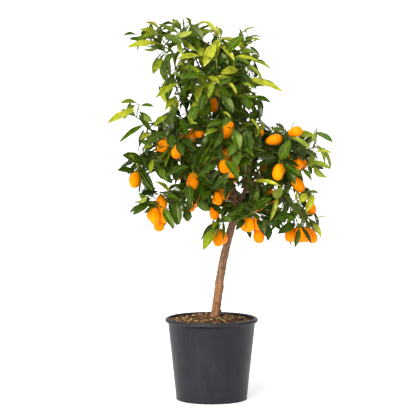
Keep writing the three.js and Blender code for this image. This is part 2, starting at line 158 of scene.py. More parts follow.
# ---- Pot ----
# A round nursery pot of five litres, moulded in black plastic, satin and a little scuffed. Its thin tapered
# wall ends in a thick rolled rim, and the corner of the foot has twelve slots for the water to run out.
POT_HEIGHT = 195
POT_BASE = 84  # radius of the foot
POT_NECK = 103  # radius of the wall just under the rim
RIM_RADIUS = 110
RIM_DEPTH = 11
WALL = 2
FLOOR = 3
LIP = POT_HEIGHT - 3.5  # where the inside of the wall meets the roll of the rim
SLOTS = 12
SLOT_TURNS = [2 * math.pi * (k + 0.5) / SLOTS for k in range(SLOTS)]


class Value:
    """A number or colour that changes over a surface. Sums and products of it add Math nodes."""

    def __init__(self, graph, socket):
        self.graph = graph
        self.socket = socket

    def __add__(self, other):
        return self.graph.node("ShaderNodeMath", {"operation": "ADD"}, {0: self, 1: other})

    def __mul__(self, other):
        return self.graph.node("ShaderNodeMath", {"operation": "MULTIPLY"}, {0: self, 1: other})


class Graph:
    """A node tree. A node is its kind, then its settings, then the values or links of its sockets."""

    def __init__(self, tree):
        self.tree = tree

    def node(self, kind, settings=None, sockets=None, out=0):
        made = self.tree.nodes.new(kind)
        for key, value in (settings or {}).items():
            setattr(made, key, value)
        for key, value in (sockets or {}).items():
            if isinstance(value, Value):
                self.tree.links.new(value.socket, made.inputs[key])
            else:
                made.inputs[key].default_value = value
        return Value(self, made.outputs[out])


class Finish(Graph):
    """A material whose fixed values are set on the shader itself."""

    def __init__(self, name, **fixed):
        self.material = bpy.data.materials.new(name)
        self.material.use_nodes = True
        super().__init__(self.material.node_tree)
        self.shader = self.tree.nodes["Principled BSDF"]
        for key, value in fixed.items():
            self.shader.inputs[key.replace("_", " ").title().replace("Ior", "IOR")].default_value = value

    def feed(self, key, value):
        self.tree.links.new(value.socket, self.shader.inputs[key])

    def stretched(self, place, stretch):
        return self.node("ShaderNodeMapping", {}, {"Vector": place, "Scale": stretch})

    def on_object(self, stretch=(1, 1, 1)):
        """Places on the piece in metres, times the stretch along each axis."""
        return self.stretched(self.node("ShaderNodeTexCoord", out="Object"), stretch)

    def along(self, axis):
        """How far along an axis a place on the piece is, in metres."""
        return self.node("ShaderNodeSeparateXYZ", {}, {0: self.on_object()}, out="XYZ".index(axis))

    def marked(self, label, out="Fac"):
        """What a named attribute of the mesh says."""
        return self.node("ShaderNodeAttribute", {"attribute_name": label}, out=out)

    def mottle(self, place, scale, detail=4, roughness=0.55):
        sockets = {"Vector": place, "Scale": scale, "Detail": detail, "Roughness": roughness}
        return self.node("ShaderNodeTexNoise", {}, sockets)

    def band(self, value, low, high, to_low=0.0, to_high=1.0):
        sockets = {
            "Value": value, "From Min": low, "From Max": high, "To Min": to_low, "To Max": to_high,
        }
        return self.node("ShaderNodeMapRange", {"interpolation_type": "SMOOTHSTEP"}, sockets)

    def blend(self, share, first, second):
        sockets = {0: share, 6: first, 7: second}
        return self.node("ShaderNodeMix", {"data_type": "RGBA", "clamp_factor": True}, sockets, out=2)

    def ramp(self, value, stops, colours):
        """A row of colours, one at each stop, that a value picks from."""
        made = self.node("ShaderNodeValToRGB", {}, {"Fac": value})
        row = made.socket.node.color_ramp.elements
        while len(row) < len(stops):
            row.new(0.5)
        for each, stop, colour in zip(row, stops, colours):
            each.position = stop
            each.color = colour
        return made

    def two_tone(self, scale, detail, first, second, edges=None, stretch=(1, 1, 1)):
        """Patches of two colours that run into each other, the more suddenly the closer the edges are."""
        share = self.mottle(self.on_object(stretch), scale, detail)
        if edges:
            share = self.band(share, *edges)
        self.feed("Base Color", self.blend(share, first, second))

    def relief(self, height, depth, strength=1.0):
        sockets = {"Height": height, "Distance": depth, "Strength": strength}
        self.feed("Normal", self.node("ShaderNodeBump", {}, sockets))

    def bumps(self, scale, detail, depth, strength=1.0):
        self.relief(self.mottle(self.on_object(), scale, detail), depth, strength)


def paint(red, green, blue):
    """An sRGB colour, 0 to 255, as the shader's linear colour."""
    shares = (red / 255, green / 255, blue / 255)
    return (*(((c + 0.055) / 1.055) ** 2.4 if c > 10 / 255 else c / 12.92 for c in shares), 1)


def shape(name, points, faces, smooth=True):
    """A mesh object at the origin, from points in millimetres."""
    mesh = bpy.data.meshes.new(name)
    corners = (np.asarray(points, float) * MM).tolist()
    mesh.from_pydata(corners, [], [tuple(map(int, face)) for face in faces])
    if smooth:
        mesh.shade_smooth()
    return in_scene(name, mesh)


def lathe(name, profile, segments):
    """A closed round body from a profile of (radius, height) that starts and ends on the axis."""
    turn = np.arange(segments) * 2 * math.pi / segments
    rings = [[(r * math.cos(a), r * math.sin(a), z) for a in turn] for r, z in profile[1:-1]]
    points = [(0, 0, profile[0][1]), (0, 0, profile[-1][1])] + sum(rings, [])
    ring_at = lambda ring, k: 2 + ring * segments + k % segments
    faces = [(0, ring_at(0, k + 1), ring_at(0, k)) for k in range(segments)]
    for ring in range(len(rings) - 1):
        faces += [
            (ring_at(ring, k), ring_at(ring, k + 1), ring_at(ring + 1, k + 1), ring_at(ring + 1, k))
            for k in range(segments)
        ]
    last = len(rings) - 1
    faces += [(1, ring_at(last, k), ring_at(last, k + 1)) for k in range(segments)]
    return shape(name, points, faces)


def arc(centre, reach, start, stop, steps):
    """Points on a round corner, as (radius, height); angles in degrees from straight outwards."""
    turns = np.radians(np.linspace(start, stop, steps))
    return [(centre[0] + reach[0] * math.cos(a), centre[1] + reach[1] * math.sin(a)) for a in turns]


def settle(host):
    """Applies the modifiers of an object to its mesh."""
    mesh = bpy.data.meshes.new_from_object(host.evaluated_get(bpy.context.evaluated_depsgraph_get()))
    host.modifiers.clear()
    host.data = mesh


def inside_wall(height):
    """The radius of the inside of the wall at a height."""
    return POT_BASE + (POT_NECK - POT_BASE) * height / LIP - WALL


pot = lathe(
    "nursery_pot",
    [(0, 0), (40, 0), (POT_BASE - 5, 0)]
    + arc((POT_BASE - 3.6, 4), (4, 4), -80, -5, 7)
    + [
        (POT_BASE + (POT_NECK - POT_BASE) * share, 5 + (POT_HEIGHT - RIM_DEPTH - 6.5) * share)
        for share in (0.02, 0.25, 0.5, 0.75, 0.97)
    ]
    + [(POT_NECK + 0.1, POT_HEIGHT - RIM_DEPTH - 1), (POT_NECK + 1.2, POT_HEIGHT - RIM_DEPTH + 0.3)]
    + arc((RIM_RADIUS - 5.4, POT_HEIGHT - 5.4), (5.4, 5.4), -82, 92, 15)
    + arc((inside_wall(LIP) + 2.2, POT_HEIGHT - 2.2), (2.2, 1.9), 100, 178, 5)
    + [(inside_wall(height), height) for height in (LIP - 4, 140, 90, 40)]
    + arc((inside_wall(FLOOR) - 4, FLOOR + 4), (4, 4), -5, -85, 5)
    + [(40, FLOOR), (0, FLOOR)],
    144,
)

slot_corners = [(r, w, z) for r in (POT_BASE - 7, POT_BASE + 8) for w in (-4.4, 4.4) for z in (1.2, 5)]
slot_faces = [(0, 1, 3, 2), (4, 6, 7, 5), (0, 4, 5, 1), (2, 3, 7, 6), (0, 2, 6, 4), (1, 5, 7, 3)]
points, faces = [], []
for a in SLOT_TURNS:
    c, s = math.cos(a), math.sin(a)
    faces += [tuple(corner + len(points) for corner in face) for face in slot_faces]
    points += [(r * c - w * s, r * s + w * c, z) for r, w, z in slot_corners]
slots = shape("slots", points, faces, smooth=False)
cut = pot.modifiers.new("slots", "BOOLEAN")
cut.operation = "DIFFERENCE"
cut.solver = "EXACT"
cut.object = slots
settle(pot)
bpy.data.objects.remove(slots)
pot.data.set_sharp_from_angle(angle=math.radians(38))

black = Finish("moulded_black", roughness=0.42, specular_ior_level=0.22)
streaks = black.mottle(black.on_object((1, 1, 0.035)), 170, 3)
clouds = black.mottle(black.on_object(), 16, 5)
scuffs = black.band(black.mottle(black.on_object((1, 1, 0.12)), 420, 2), 0.66, 0.76)
wear_and_painted_light = black.blend(black.band(clouds, 0.3, 0.7), paint(23, 22, 29), paint(32, 31, 40))
wear_and_painted_light = black.blend(black.band(streaks, 0.5, 0.9) * 0.25, wear_and_painted_light, paint(64, 64, 70))
wear_and_painted_light = black.blend(scuffs * 0.15, wear_and_painted_light, paint(104, 100, 98))
height = black.along("Z")
# Painted shade: a thin band of the wall just under the rim is darkened nearly to black, where the rim's
# shadow falls.
painted_shade_under_rim = black.band(height, 0.1808, 0.1832)
# The rim's upper part is a lighter grey, partly rubbed wear and partly a painted highlight.
rim_wear_and_painted_highlight = black.band(height, 0.1862, 0.1885)
wear_and_painted_light = black.blend(painted_shade_under_rim * 0.9, wear_and_painted_light, paint(7, 7, 9))
wear_and_painted_light = black.blend(rim_wear_and_painted_highlight, wear_and_painted_light, black.blend(clouds, paint(26, 25, 30), paint(50, 48, 53)))
black.feed("Base Color", wear_and_painted_light)
black.feed("Roughness", black.band(clouds, 0.25, 0.75, 0.38, 0.5))
black.relief(streaks * 0.4 + black.mottle(black.on_object(), 900, 2) * 0.6, 0.0002, 0.4)
pot.data.materials.clear()
pot.data.materials.append(black.material)
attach(pot, "root")
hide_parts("pot")

# ---- Soil ----
# Potting mix of composted bark, filled to just under the rim and heaped against the trunk. The body is a
# closed block of fine mix. Loose chips, crumbs, pale grains and a few shreds of moss lie on its top.
SOIL_EDGE = 187
SOIL_CREST = 197
FOOT = (8, 10)  # where the trunk stands


def soil_height(x, y):
    """The top of the soil: low at the wall, heaped round the foot and in one other place, and lumpy."""
    fall = 1 - min(1, max(0, math.hypot(x - FOOT[0], y - FOOT[1]) - 18) / 68)
    low = 188.6 - 0.018 * x
    heap = 4.5 * math.exp(-((x + 24) ** 2 + (y - 58) ** 2) / 420)
    lumps = noise.noise((x / 17, y / 17, 3)) * 2.4 + noise.noise((x / 6, y / 6, 9)) * 1.4
    return low + (SOIL_CREST - low) * fall * fall * (3 - 2 * fall) + heap + lumps


mix_top = inside_wall(SOIL_EDGE) - 0.6
profile = [(0, 3.6), (inside_wall(3.6) - 4, 3.6), (inside_wall(9) - 0.6, 9)]
profile += [(mix_top * share, SOIL_EDGE) for share in np.linspace(1, 0.03, 34)]
soil = lathe("potting_mix", profile + [(0, SOIL_EDGE)], 96)
for vertex in soil.data.vertices:
    x, y, z = vertex.co / MM
    if z > SOIL_EDGE - 1:
        vertex.co.z = soil_height(x, y) * MM

earth = Finish("fine_mix", roughness=0.95, specular_ior_level=0.2)
grit = earth.mottle(earth.on_object(), 420, 6, 0.7)
browns = (paint(28, 18, 14), paint(56, 37, 27), paint(112, 74, 48))
earth.feed("Base Color", earth.ramp(grit, (0.3, 0.5, 0.7), browns))
earth.relief(grit, 0.0012)
soil.data.materials.append(earth.material)
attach(soil, "root")
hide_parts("soil")


def chunk(name, size, seed, facets=1):
    """A broken, angular crumb of the given size in millimetres."""
    built = bmesh.new()
    bmesh.ops.create_icosphere(built, subdivisions=facets, radius=0.5)
    for vertex in built.verts:
        vertex.co *= 1 + 0.5 * noise.noise(vertex.co * 3.1 + Vector((seed * 7.3, 1, 2)))
        vertex.co = Vector(a * b * MM for a, b in zip(vertex.co, size))
    mesh = bpy.data.meshes.new(name)
    built.to_mesh(mesh)
    built.free()
    return bpy.data.objects.new(name, mesh)


class Recipe(Graph):
    """A Geometry Nodes tree with named inputs. run() keeps the plain mesh that comes out of it."""

    def __init__(self, name, **inputs):
        super().__init__(bpy.data.node_groups.new(name, "GeometryNodeTree"))
        self.tree.interface.new_socket("Geometry", in_out="INPUT", socket_type="NodeSocketGeometry")
        self.tree.interface.new_socket("Geometry", in_out="OUTPUT", socket_type="NodeSocketGeometry")
        for label, kind in inputs.items():
            self.tree.interface.new_socket(label, in_out="INPUT", socket_type="NodeSocket" + kind)
        self.entry = self.tree.nodes.new("NodeGroupInput")

    def given(self, label):
        return Value(self, self.entry.outputs[label])

    def named(self, label, kind):
        return self.node("GeometryNodeInputNamedAttribute", {"data_type": kind}, {"Name": label})

    def ends_in(self, geometry, finish, selection=True):
        """Gives the geometry, or the selected part of it, a finish. The last call is what comes out."""
        sockets = {"Geometry": geometry, "Material": finish, "Selection": selection}
        self.last = self.node("GeometryNodeSetMaterial", {}, sockets)
        return self.last

    def close(self):
        self.tree.links.new(self.last.socket, self.tree.nodes.new("NodeGroupOutput").inputs[0])

    def run(self, host, **values):
        modifier = host.modifiers.new(self.tree.name, "NODES")
        modifier.node_group = self.tree
        for item in self.tree.interface.items_tree:
            if item.in_out == "INPUT" and item.name in values:
                modifier[item.identifier] = values[item.name]
        settle(host)

    def set_out(self, points, sockets):
        """Copies of the given patterns at points, as one mesh. The sockets say how each copy is turned."""
        chosen = {"Collection": self.given("Patterns"), "Separate Children": True, "Reset Children": True}
        patterns = self.node("GeometryNodeCollectionInfo", {}, chosen)
        sockets = {"Points": points, "Instance": patterns, "Pick Instance": True, **sockets}
        laid = self.node("GeometryNodeInstanceOnPoints", {}, sockets)
        return self.node("GeometryNodeRealizeInstances", {}, {"Geometry": laid})

    def run_with(self, patterns, host, **values):
        """run() with pattern objects that are picked from by number, and that are gone afterwards."""
        group = bpy.data.collections.new(host.name + "_patterns")
        for pattern in patterns:
            group.objects.link(pattern)
        self.run(host, Patterns=group, **values)
        for pattern in patterns:
            bpy.data.objects.remove(pattern)
        bpy.data.collections.remove(group)


strew = Recipe(
    "strew", Patterns="Collection", Density="Float", Seed="Int", Least="Float", Most="Float",
    Finish="Material",
)
spots = strew.node("GeometryNodeDistributePointsOnFaces", {}, {
    "Mesh": strew.given("Geometry"), "Density": strew.given("Density"), "Seed": strew.given("Seed"),
})
strewn = strew.set_out(spots, {
    "Rotation": strew.node("FunctionNodeRandomValue", {"data_type": "FLOAT_VECTOR"}, {
        0: (-0.5, -0.5, 0), 1: (0.5, 0.5, 6.3), "Seed": 5,
    }),
    "Scale": strew.node("FunctionNodeRandomValue", {"data_type": "FLOAT"}, {
        2: strew.given("Least"), 3: strew.given("Most"), "Seed": 8,
    }, out=1),
})
strew.ends_in(strewn, strew.given("Finish"))
strew.close()


def top_of_soil(name):
    """A copy of the heap's top, to lay loose pieces on."""
    built = bmesh.new()
    built.from_mesh(soil.data)
    spare = []
    for face in built.faces:
        middle = face.calc_center_median() / MM
        if face.normal.z < 0.5 or middle.z < SOIL_EDGE - 5 or middle.xy.length > mix_top - 6:
            spare.append(face)
    bmesh.ops.delete(built, geom=spare, context="FACES")
    mesh = bpy.data.meshes.new(name)
    built.to_mesh(mesh)
    built.free()
    return in_scene(name, mesh)


def dyed(colour, share):
    """A colour that is darker or lighter by a share."""
    return (*(min(1, c * share) for c in colour[:3]), 1)


def loose(name, patterns, density, seed, least, most, colour, spread=0.25):
    """Loose pieces of one kind over the soil, in one dull colour that varies a little from place to place."""
    dull = Finish(name + "_finish", roughness=0.9, specular_ior_level=0.25)
    shade = dull.mottle(dull.on_object(), 230, 2)
    # The pieces grow darker towards the right side of the pot, to about six tenths of their colour.
    darker_rightwards = dull.band(dull.along("X") + dull.mottle(dull.on_object(), 30) * 0.1, 0.02, 0.1)
    patchy = dull.blend(dull.band(shade, 0.35, 0.65), dyed(colour, 1 - 2 * spread), dyed(colour, 1 + 2 * spread))
    dull.feed("Base Color", dull.blend(darker_rightwards * 0.8, patchy, dyed(colour, 0.5)))
    dull.bumps(1800, 2, 0.0004)
    laid = top_of_soil(name)
    strew.run_with(patterns, laid, Density=density, Seed=seed, Least=least, Most=most, Finish=dull.material)
    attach(laid, "root")
    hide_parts("soil")


def broken(tag, count, size, first, longer=0):
    """Patterns of one kind of broken piece, each a little longer than the one before."""
    length, width, height = size
    return [chunk(f"{tag}{k}", (length + longer * k, width, height), first + k) for k in range(count)]


# How many patterns a kind has, their size, the first one's seed and how much longer each next one is.
CRUMB = (5, (4.2, 3.2, 2.6), 0)
CHIP = (5, (10, 5, 2.4), 9, 1)
GRAIN = (3, (2.3, 2, 1.8), 20)
SHRED = (4, (7, 2.6, 2), 30)

# Each layer's pieces to a square metre, its seed, the least and the greatest scale, and its colour.
loose("dark_crumbs", broken("dark", *CRUMB), 50000, 1, 0.7, 1.5, paint(48, 32, 25))
loose("brown_crumbs", broken("brown", *CRUMB), 32000, 2, 0.6, 1.4, paint(112, 76, 52))
loose("brown_chips", broken("chip", *CHIP), 7500, 3, 0.7, 1.5, paint(120, 84, 58))
loose("tan_chips", broken("tan", *CHIP), 5600, 4, 0.65, 1.4, paint(196, 152, 102))
loose("red_chips", broken("red", *CHIP), 6500, 5, 0.6, 1.3, paint(92, 56, 46))
loose("pale_grains", broken("pale", *GRAIN), 7000, 6, 0.6, 1.3, paint(206, 194, 180), 0.1)
loose("moss_shreds", broken("moss", *SHRED), 2600, 7, 0.6, 1.5, paint(150, 158, 40))

# Tufts of moss on the heap, and bark that shows in the slots of the foot.
TUFTS = [  # place and width
    (-36, 40, 7), (-44, -30, 9), (-53, -38, 6), (2, -12, 5), (48, 22, 9), (38, 52, 7), (-90, -4, 7),
    (60, -40, 5),
]


def gathered(name, parts):
    """One mesh of many chunks, each given with the way to its place."""
    built = bmesh.new()
    for part, move in parts:
        part.data.transform(move)
        built.from_mesh(part.data)
        bpy.data.objects.remove(part)
    made = shape(name, [(0, 0, 0)], [])
    built.to_mesh(made.data)
    built.free()
    return made


def tuft_bits():
    """Seven bits of moss to a tuft: one in the middle and six round it."""
    for k, (x, y, width) in enumerate(TUFTS):
        for bit in range(7):
            turn = bit * 2.4 + k
            out = 0 if bit == 0 else width * 0.42
            place = Vector((x + out * math.cos(turn), y + out * math.sin(turn), 0))
            place.z = soil_height(place.x, place.y) + 1.2
            part = chunk("bit", (width * 0.62, width * 0.4, 3.2), 3 * k + bit, 2)
            yield part, Matrix.Translation(place * MM) @ Matrix.Rotation(turn * 1.7, 4, "Z")


def slot_plugs():
    reach = POT_BASE - 4.6
    for k, turn in enumerate(SLOT_TURNS):
        place = Vector((reach * math.cos(turn), reach * math.sin(turn), 3.4))
        yield chunk("bit", (6, 5.5, 4), 40 + k, 2), Matrix.Translation(place * MM)


moss = gathered("moss_tufts", tuft_bits())
mossy = Finish("moss", roughness=0.85, specular_ior_level=0.2)
mossy.two_tone(60, 2, paint(78, 86, 26), paint(164, 156, 72), (0.4, 0.6))
mossy.bumps(1500, 2, 0.0006)
moss.data.materials.append(mossy.material)
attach(moss, "root")
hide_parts("soil")

showing = gathered("bark_in_slots", slot_plugs())
coarse = Finish("coarse_bark", roughness=0.9, specular_ior_level=0.2)
coarse.two_tone(160, 2, paint(84, 56, 40), paint(160, 116, 78))
coarse.bumps(1500, 2, 0.0005)
showing.data.materials.append(coarse.material)
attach(showing, "root")
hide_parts("soil")

# ---- Trunk, limbs and boughs ----
# A grafted young citrus trunk, two fingers thick at the soil with a slight root flare. It leans out of the
# pot and forks into limbs. Old wood is grey-brown with fine cracks along the grain, warmer below the graft.
# Young wood is green.
TRUNK = [
    (7.8, 10, 190), (14.9, 9, 247), (19.8, 8, 286), (31.2, 6, 348), (47.4, 3, 412), (57, 1, 442),
    (60, 0, 476),
]
LIMBS = {  # parent, how far up it, girth and age at the base and at the end, and points that it runs through
    "leader": (
        "trunk", 0.985, (7.6, 2.6), (1, 0.1),
        [(53, 2, 494), (46, 5, 515), (34, 8, 550), (25, 8, 600), (20, 5, 660), (17, 0, 720), (14, 0, 775)],
    ),
    "right_limb": (
        "trunk", 0.95, (5.6, 2.4), (0.95, 0.15),
        [(76, -2, 492), (86, -4, 525), (86, -6, 580), (82, -4, 640), (76, 0, 700), (74, 0, 775)],
    ),
    "upper_left_limb": (
        "leader", 0.32, (4.2, 2.2), (0.55, 0),
        [(-16, 2, 612), (-50, 0, 662), (-66, 0, 710), (-76, -2, 755), (-88, -4, 800)],
    ),
    "left_arm": (
        "leader", 0.1, (5, 2.3), (0.9, 0.45),
        [(12, -2, 540), (-40, -8, 572), (-84, -10, 586), (-122, -12, 586)],
    ),
    "right_arm": (
        "right_limb", 0.1, (4.4, 2.3), (0.9, 0.45), [(106, -2, 520), (132, -2, 545), (152, -4, 560)],
    ),
}
MASSES = {  # the limb that carries it, how far along, centre, reach, whether it is young, its bough's bow
    "top_left": ("upper_left_limb", 1, (-142, -5, 848), (54, 58, 50), True, 0),
    "top_middle": ("leader", 0.8, (-62, 5, 854), (56, 62, 56), True, -0.1),
    "top_centre": ("leader", 1, (10, 5, 850), (60, 64, 54), True, 0),
    "top_right": ("right_limb", 1, (70, 0, 830), (50, 62, 60), True, 0),
    "upper_left": ("upper_left_limb", 0.62, (-92, 0, 752), (50, 64, 60), True, -0.1),
    "upper_front": ("leader", 0.62, (-14, -66, 760), (68, 64, 66), True, -0.1),
    "upper_back": ("leader", 0.6, (10, 76, 766), (84, 68, 70), True, -0.1),
    "upper_right": ("right_limb", 0.74, (100, -4, 758), (62, 68, 62), True, -0.1),
    "mid_left": ("upper_left_limb", 0.36, (-84, -20, 680), (56, 68, 56), False, -0.1),
    "left_shoot": ("left_arm", 0.72, (-180, 0, 672), (62, 52, 56), True, -0.1),
    "mid_front": ("leader", 0.42, (4, -92, 660), (68, 68, 62), False, -0.1),
    "mid_right": ("right_limb", 0.52, (104, -30, 672), (62, 68, 56), False, -0.1),
    "mid_back": ("leader", 0.38, (24, 100, 664), (94, 76, 66), False, -0.1),
    "left_wing": ("left_arm", 1, (-160, -12, 566), (60, 76, 62), False, 0),
    "left_front": ("left_arm", 0.4, (-84, -70, 594), (64, 72, 64), False, -0.1),
    "left_low": ("left_arm", 0.25, (-120, -40, 470), (68, 72, 72), False, 0.2),
    "centre_front": ("leader", 0.05, (-20, -92, 524), (68, 68, 64), False, -0.1),
    "low_sprig": ("trunk", 0.86, (6, -44, 428), (40, 50, 60), False, 0.2),
    "right_front": ("right_limb", 0.2, (58, -108, 576), (68, 70, 68), False, -0.1),
    "right_under": ("trunk", 0.93, (98, -66, 454), (60, 68, 70), False, 0.2),
    "right_wing": ("right_arm", 1, (174, -12, 588), (74, 86, 74), False, 0),
    "right_shoot": ("right_arm", 0.75, (238, 4, 598), (50, 58, 64), True, -0.1),
    "right_low": ("right_arm", 0.45, (198, -36, 464), (70, 72, 84), False, 0.2),
    "back_left": ("left_arm", 0.2, (-96, 92, 578), (92, 86, 86), False, -0.1),
    "back_centre": ("leader", 0.16, (20, 146, 556), (86, 74, 86), False, -0.1),
    "back_right": ("right_limb", 0.16, (138, 108, 570), (92, 86, 86), False, -0.1),
    "back_low_left": ("trunk", 0.97, (-36, 80, 468), (74, 70, 60), False, 0.15),
    "back_low_right": ("trunk", 0.9, (106, 78, 458), (76, 70, 64), False, 0.15),
}
UP = np.array((0, 0, 1.0))


def unit(way):
    return way / np.linalg.norm(way)


def smooth_line(points, steps=12):
    """Points along the smooth curve that runs through the given ones."""
    p = np.array(points, float)
    p = np.vstack([2 * p[0] - p[1], p, 2 * p[-1] - p[-2]])
    t = np.linspace(0, 1, steps, endpoint=False)[:, None]
    runs = [
        0.5 * (2 * b + (c - a) * t + (2 * a - 5 * b + 4 * c - d) * t**2 + (3 * b - a - 3 * c + d) * t**3)
        for a, b, c, d in zip(p, p[1:], p[2:], p[3:])
    ]
    return np.vstack(runs + [p[-2:-1]])


class Shoot:
    """Anything woody: a centre line in millimetres, its girth as a radius, and its age from 1 down to 0."""

    def __init__(self, line, base, end, age=(1, 1), flare=0):
        self.line = np.asarray(line, float)
        run = np.linalg.norm(np.diff(self.line, axis=0), axis=1)
        self.length = run.sum()
        self.share = np.concatenate([[0], np.cumsum(run)]) / self.length
        self.base, self.end, self.age, self.flare = base, end, age, flare

    def at(self, t):
        return np.array([np.interp(t, self.share, self.line[:, k]) for k in range(3)]).T

    def heading(self, t):
        return unit(self.at(min(1, t + 0.03)) - self.at(max(0, t - 0.03)))

    def girth(self, t):
        swell = self.flare * np.clip(1 - t * self.length / 20, 0, 1) ** 1.6
        return self.base + (self.end - self.base) * t + swell

    def years(self, t):
        return self.age[0] + (self.age[1] - self.age[0]) * t

    def cut(self, t):
        """The part up to t."""
        line = np.vstack([self.line[self.share < t], self.at(t)])
        return Shoot(line, self.base, self.girth(t), (self.age[0], self.years(t)))


wood = {"trunk": Shoot(smooth_line(TRUNK), 10.8, 8.8, flare=4.2)}
for name, (parent, at, girths, ages, path) in LIMBS.items():
    wood[name] = Shoot(smooth_line([wood[parent].at(at), *path]), *girths, ages)
carriers = {}
for name, (parent, at, centre, reach, young, bow) in MASSES.items():
    if at == 1:
        carriers[name] = wood[parent]
        continue
    start = wood[parent].at(at)
    tip = unit((start - centre) / reach) * 0.72 * np.array(reach) + centre
    middle = (start + tip) / 2 + UP * bow * np.linalg.norm(tip - start)
    girth = min(4, 0.62 * wood[parent].girth(at))
    age = wood[parent].years(at)
    ages = (age * 0.9, 0 if young else age * 0.5)
    wood[name + "_bough"] = carriers[name] = Shoot(smooth_line([start, middle, tip]), girth, 2.1, ages)

bars = Recipe("bars_along_lines", Sides="Int", Finish="Material")
circle = {"Resolution": bars.given("Sides"), "Radius": 1.0}
bodies = bars.node("GeometryNodeCurveToMesh", {}, {
    "Curve": bars.node("GeometryNodeMeshToCurve", {}, {"Mesh": bars.given("Geometry")}),
    "Profile Curve": bars.node("GeometryNodeCurvePrimitiveCircle", {}, circle),
    "Scale": bars.named("girth", "FLOAT"),
    "Fill Caps": True,
})
bars.ends_in(bars.node("GeometryNodeRealizeInstances", {}, {"Geometry": bodies}), bars.given("Finish"))
bars.close()


def write(mesh, label, kind, values, on="POINT"):
    """Writes a named attribute of a mesh, for a recipe or a finish to read."""
    field = "vector" if "VECTOR" in kind else "value"
    mesh.attributes.new(label, kind, on).data.foreach_set(field, values)


def lines_of(name, shoots, pitch):
    """The shoots' centre lines as loose edges, each point with its girth and its age."""
    points, edges, girths, ages = [], [], [], []
    for shoot in shoots:
        t = np.linspace(0, 1, max(3, round(shoot.length / pitch) + 1))
        edges += [(len(points) + k, len(points) + k + 1) for k in range(len(t) - 1)]
        points += list(shoot.at(t))
        girths += list(shoot.girth(t) * MM)
        ages += list(shoot.years(t))
    mesh = bpy.data.meshes.new(name)
    mesh.from_pydata((np.array(points) * MM).tolist(), edges, [])
    write(mesh, "girth", "FLOAT", girths)
    write(mesh, "age", "FLOAT", ages)
    return in_scene(name, mesh)


bark = Finish("bark", roughness=0.78, specular_ior_level=0.3)
boughs = lines_of("trunk_and_boughs", wood.values(), 5)
bars.run(boughs, Sides=20, Finish=bark.material)

# The swelling of the graft, and the scars of cut side shoots, dark in the middle.
SWELLINGS = [  # place and half-sizes
    ((18.2, 8.4, 270), (11, 10.8, 26)), ((28.5, 6, 300), (5, 4, 5)), ((36, 5, 343), (5, 5, 6)),
    ((23, 8, 262), (4.6, 5, 5)),
]
SCARS = [
    ((25.6, -1.6, 312), (3.6, 2.4, 3)), ((10.6, -0.6, 230), (2.8, 2, 2.8)),
    ((15.4, -1.8, 276), (2, 1.6, 1.8)), ((9, 1.6, 205), (1.8, 2, 1.8)), ((38, -3.4, 379), (2.4, 2, 3.2)),
]
built = bmesh.new()
built.from_mesh(boughs.data)
for place, half in SWELLINGS + SCARS:
    place = Matrix.Translation(Vector(place) * MM) @ Matrix.Diagonal((*(Vector(half) * MM), 1))
    bmesh.ops.create_icosphere(built, subdivisions=3, radius=1, matrix=place)
built.to_mesh(boughs.data)
built.free()
remesh = boughs.modifiers.new("one_skin", "REMESH")
remesh.mode = "VOXEL"
remesh.voxel_size = 0.00105
smooth = boughs.modifiers.new("soften", "SMOOTH")
smooth.iterations = 4
settle(boughs)

# Where each point of the skin lies on its limb: along it, and round it. The grain of the bark follows that.
STATION_PITCH = 3
stations = []
for shoot in wood.values():
    stations += [(shoot, t) for t in np.linspace(0, 1, max(2, round(shoot.length / STATION_PITCH)))]
heads = [Vector(shoot.heading(t)) for shoot, t in stations]
tree = KDTree(len(stations))
for k, (shoot, t) in enumerate(stations):
    tree.insert(shoot.at(t) * MM, k)
tree.balance()


def read(items, field):
    """A three-part field of all vertices as an array."""
    values = np.empty(len(items) * 3, np.float32)
    items.foreach_get(field, values)
    return values.reshape(-1, 3)


skin = read(boughs.data.vertices, "co")
normals = read(boughs.data.vertices, "normal")
grain, ages, swell, scarred = [], [], [], []
for corner in skin.tolist():
    place, k, _ = tree.find(corner)
    shoot, t = stations[k]
    out = (Vector(corner) - place) / MM
    along = shoot.length * t + out.dot(heads[k])
    grain += [out.x, out.y, along]
    ages.append(shoot.years(t))
    crack = noise.noise((out.x * 0.55, out.y * 0.55, along * 0.07))
    lump = noise.noise((out.x * 0.11, out.y * 0.11, along * 0.06 + 40))
    depth = min(1, (shoot.base + (shoot.end - shoot.base) * t) / 10) * (0.3 + 0.7 * shoot.years(t))
    swell.append((0.55 * lump - 0.5 * max(0, crack - 0.1)) * depth * MM)
    nearest_scar = min((Vector(corner) / MM - Vector(spot)).length / half[0] for spot, half in SCARS)
    scarred.append(max(0, 1 - nearest_scar / 1.5))
boughs.data.vertices.foreach_set("co", (skin + normals * np.array(swell)[:, None]).ravel())
write(boughs.data, "grain", "FLOAT_VECTOR", grain)
write(boughs.data, "age", "FLOAT", ages)
write(boughs.data, "scar", "FLOAT", scarred)
boughs.data.update()
boughs.data.shade_smooth()

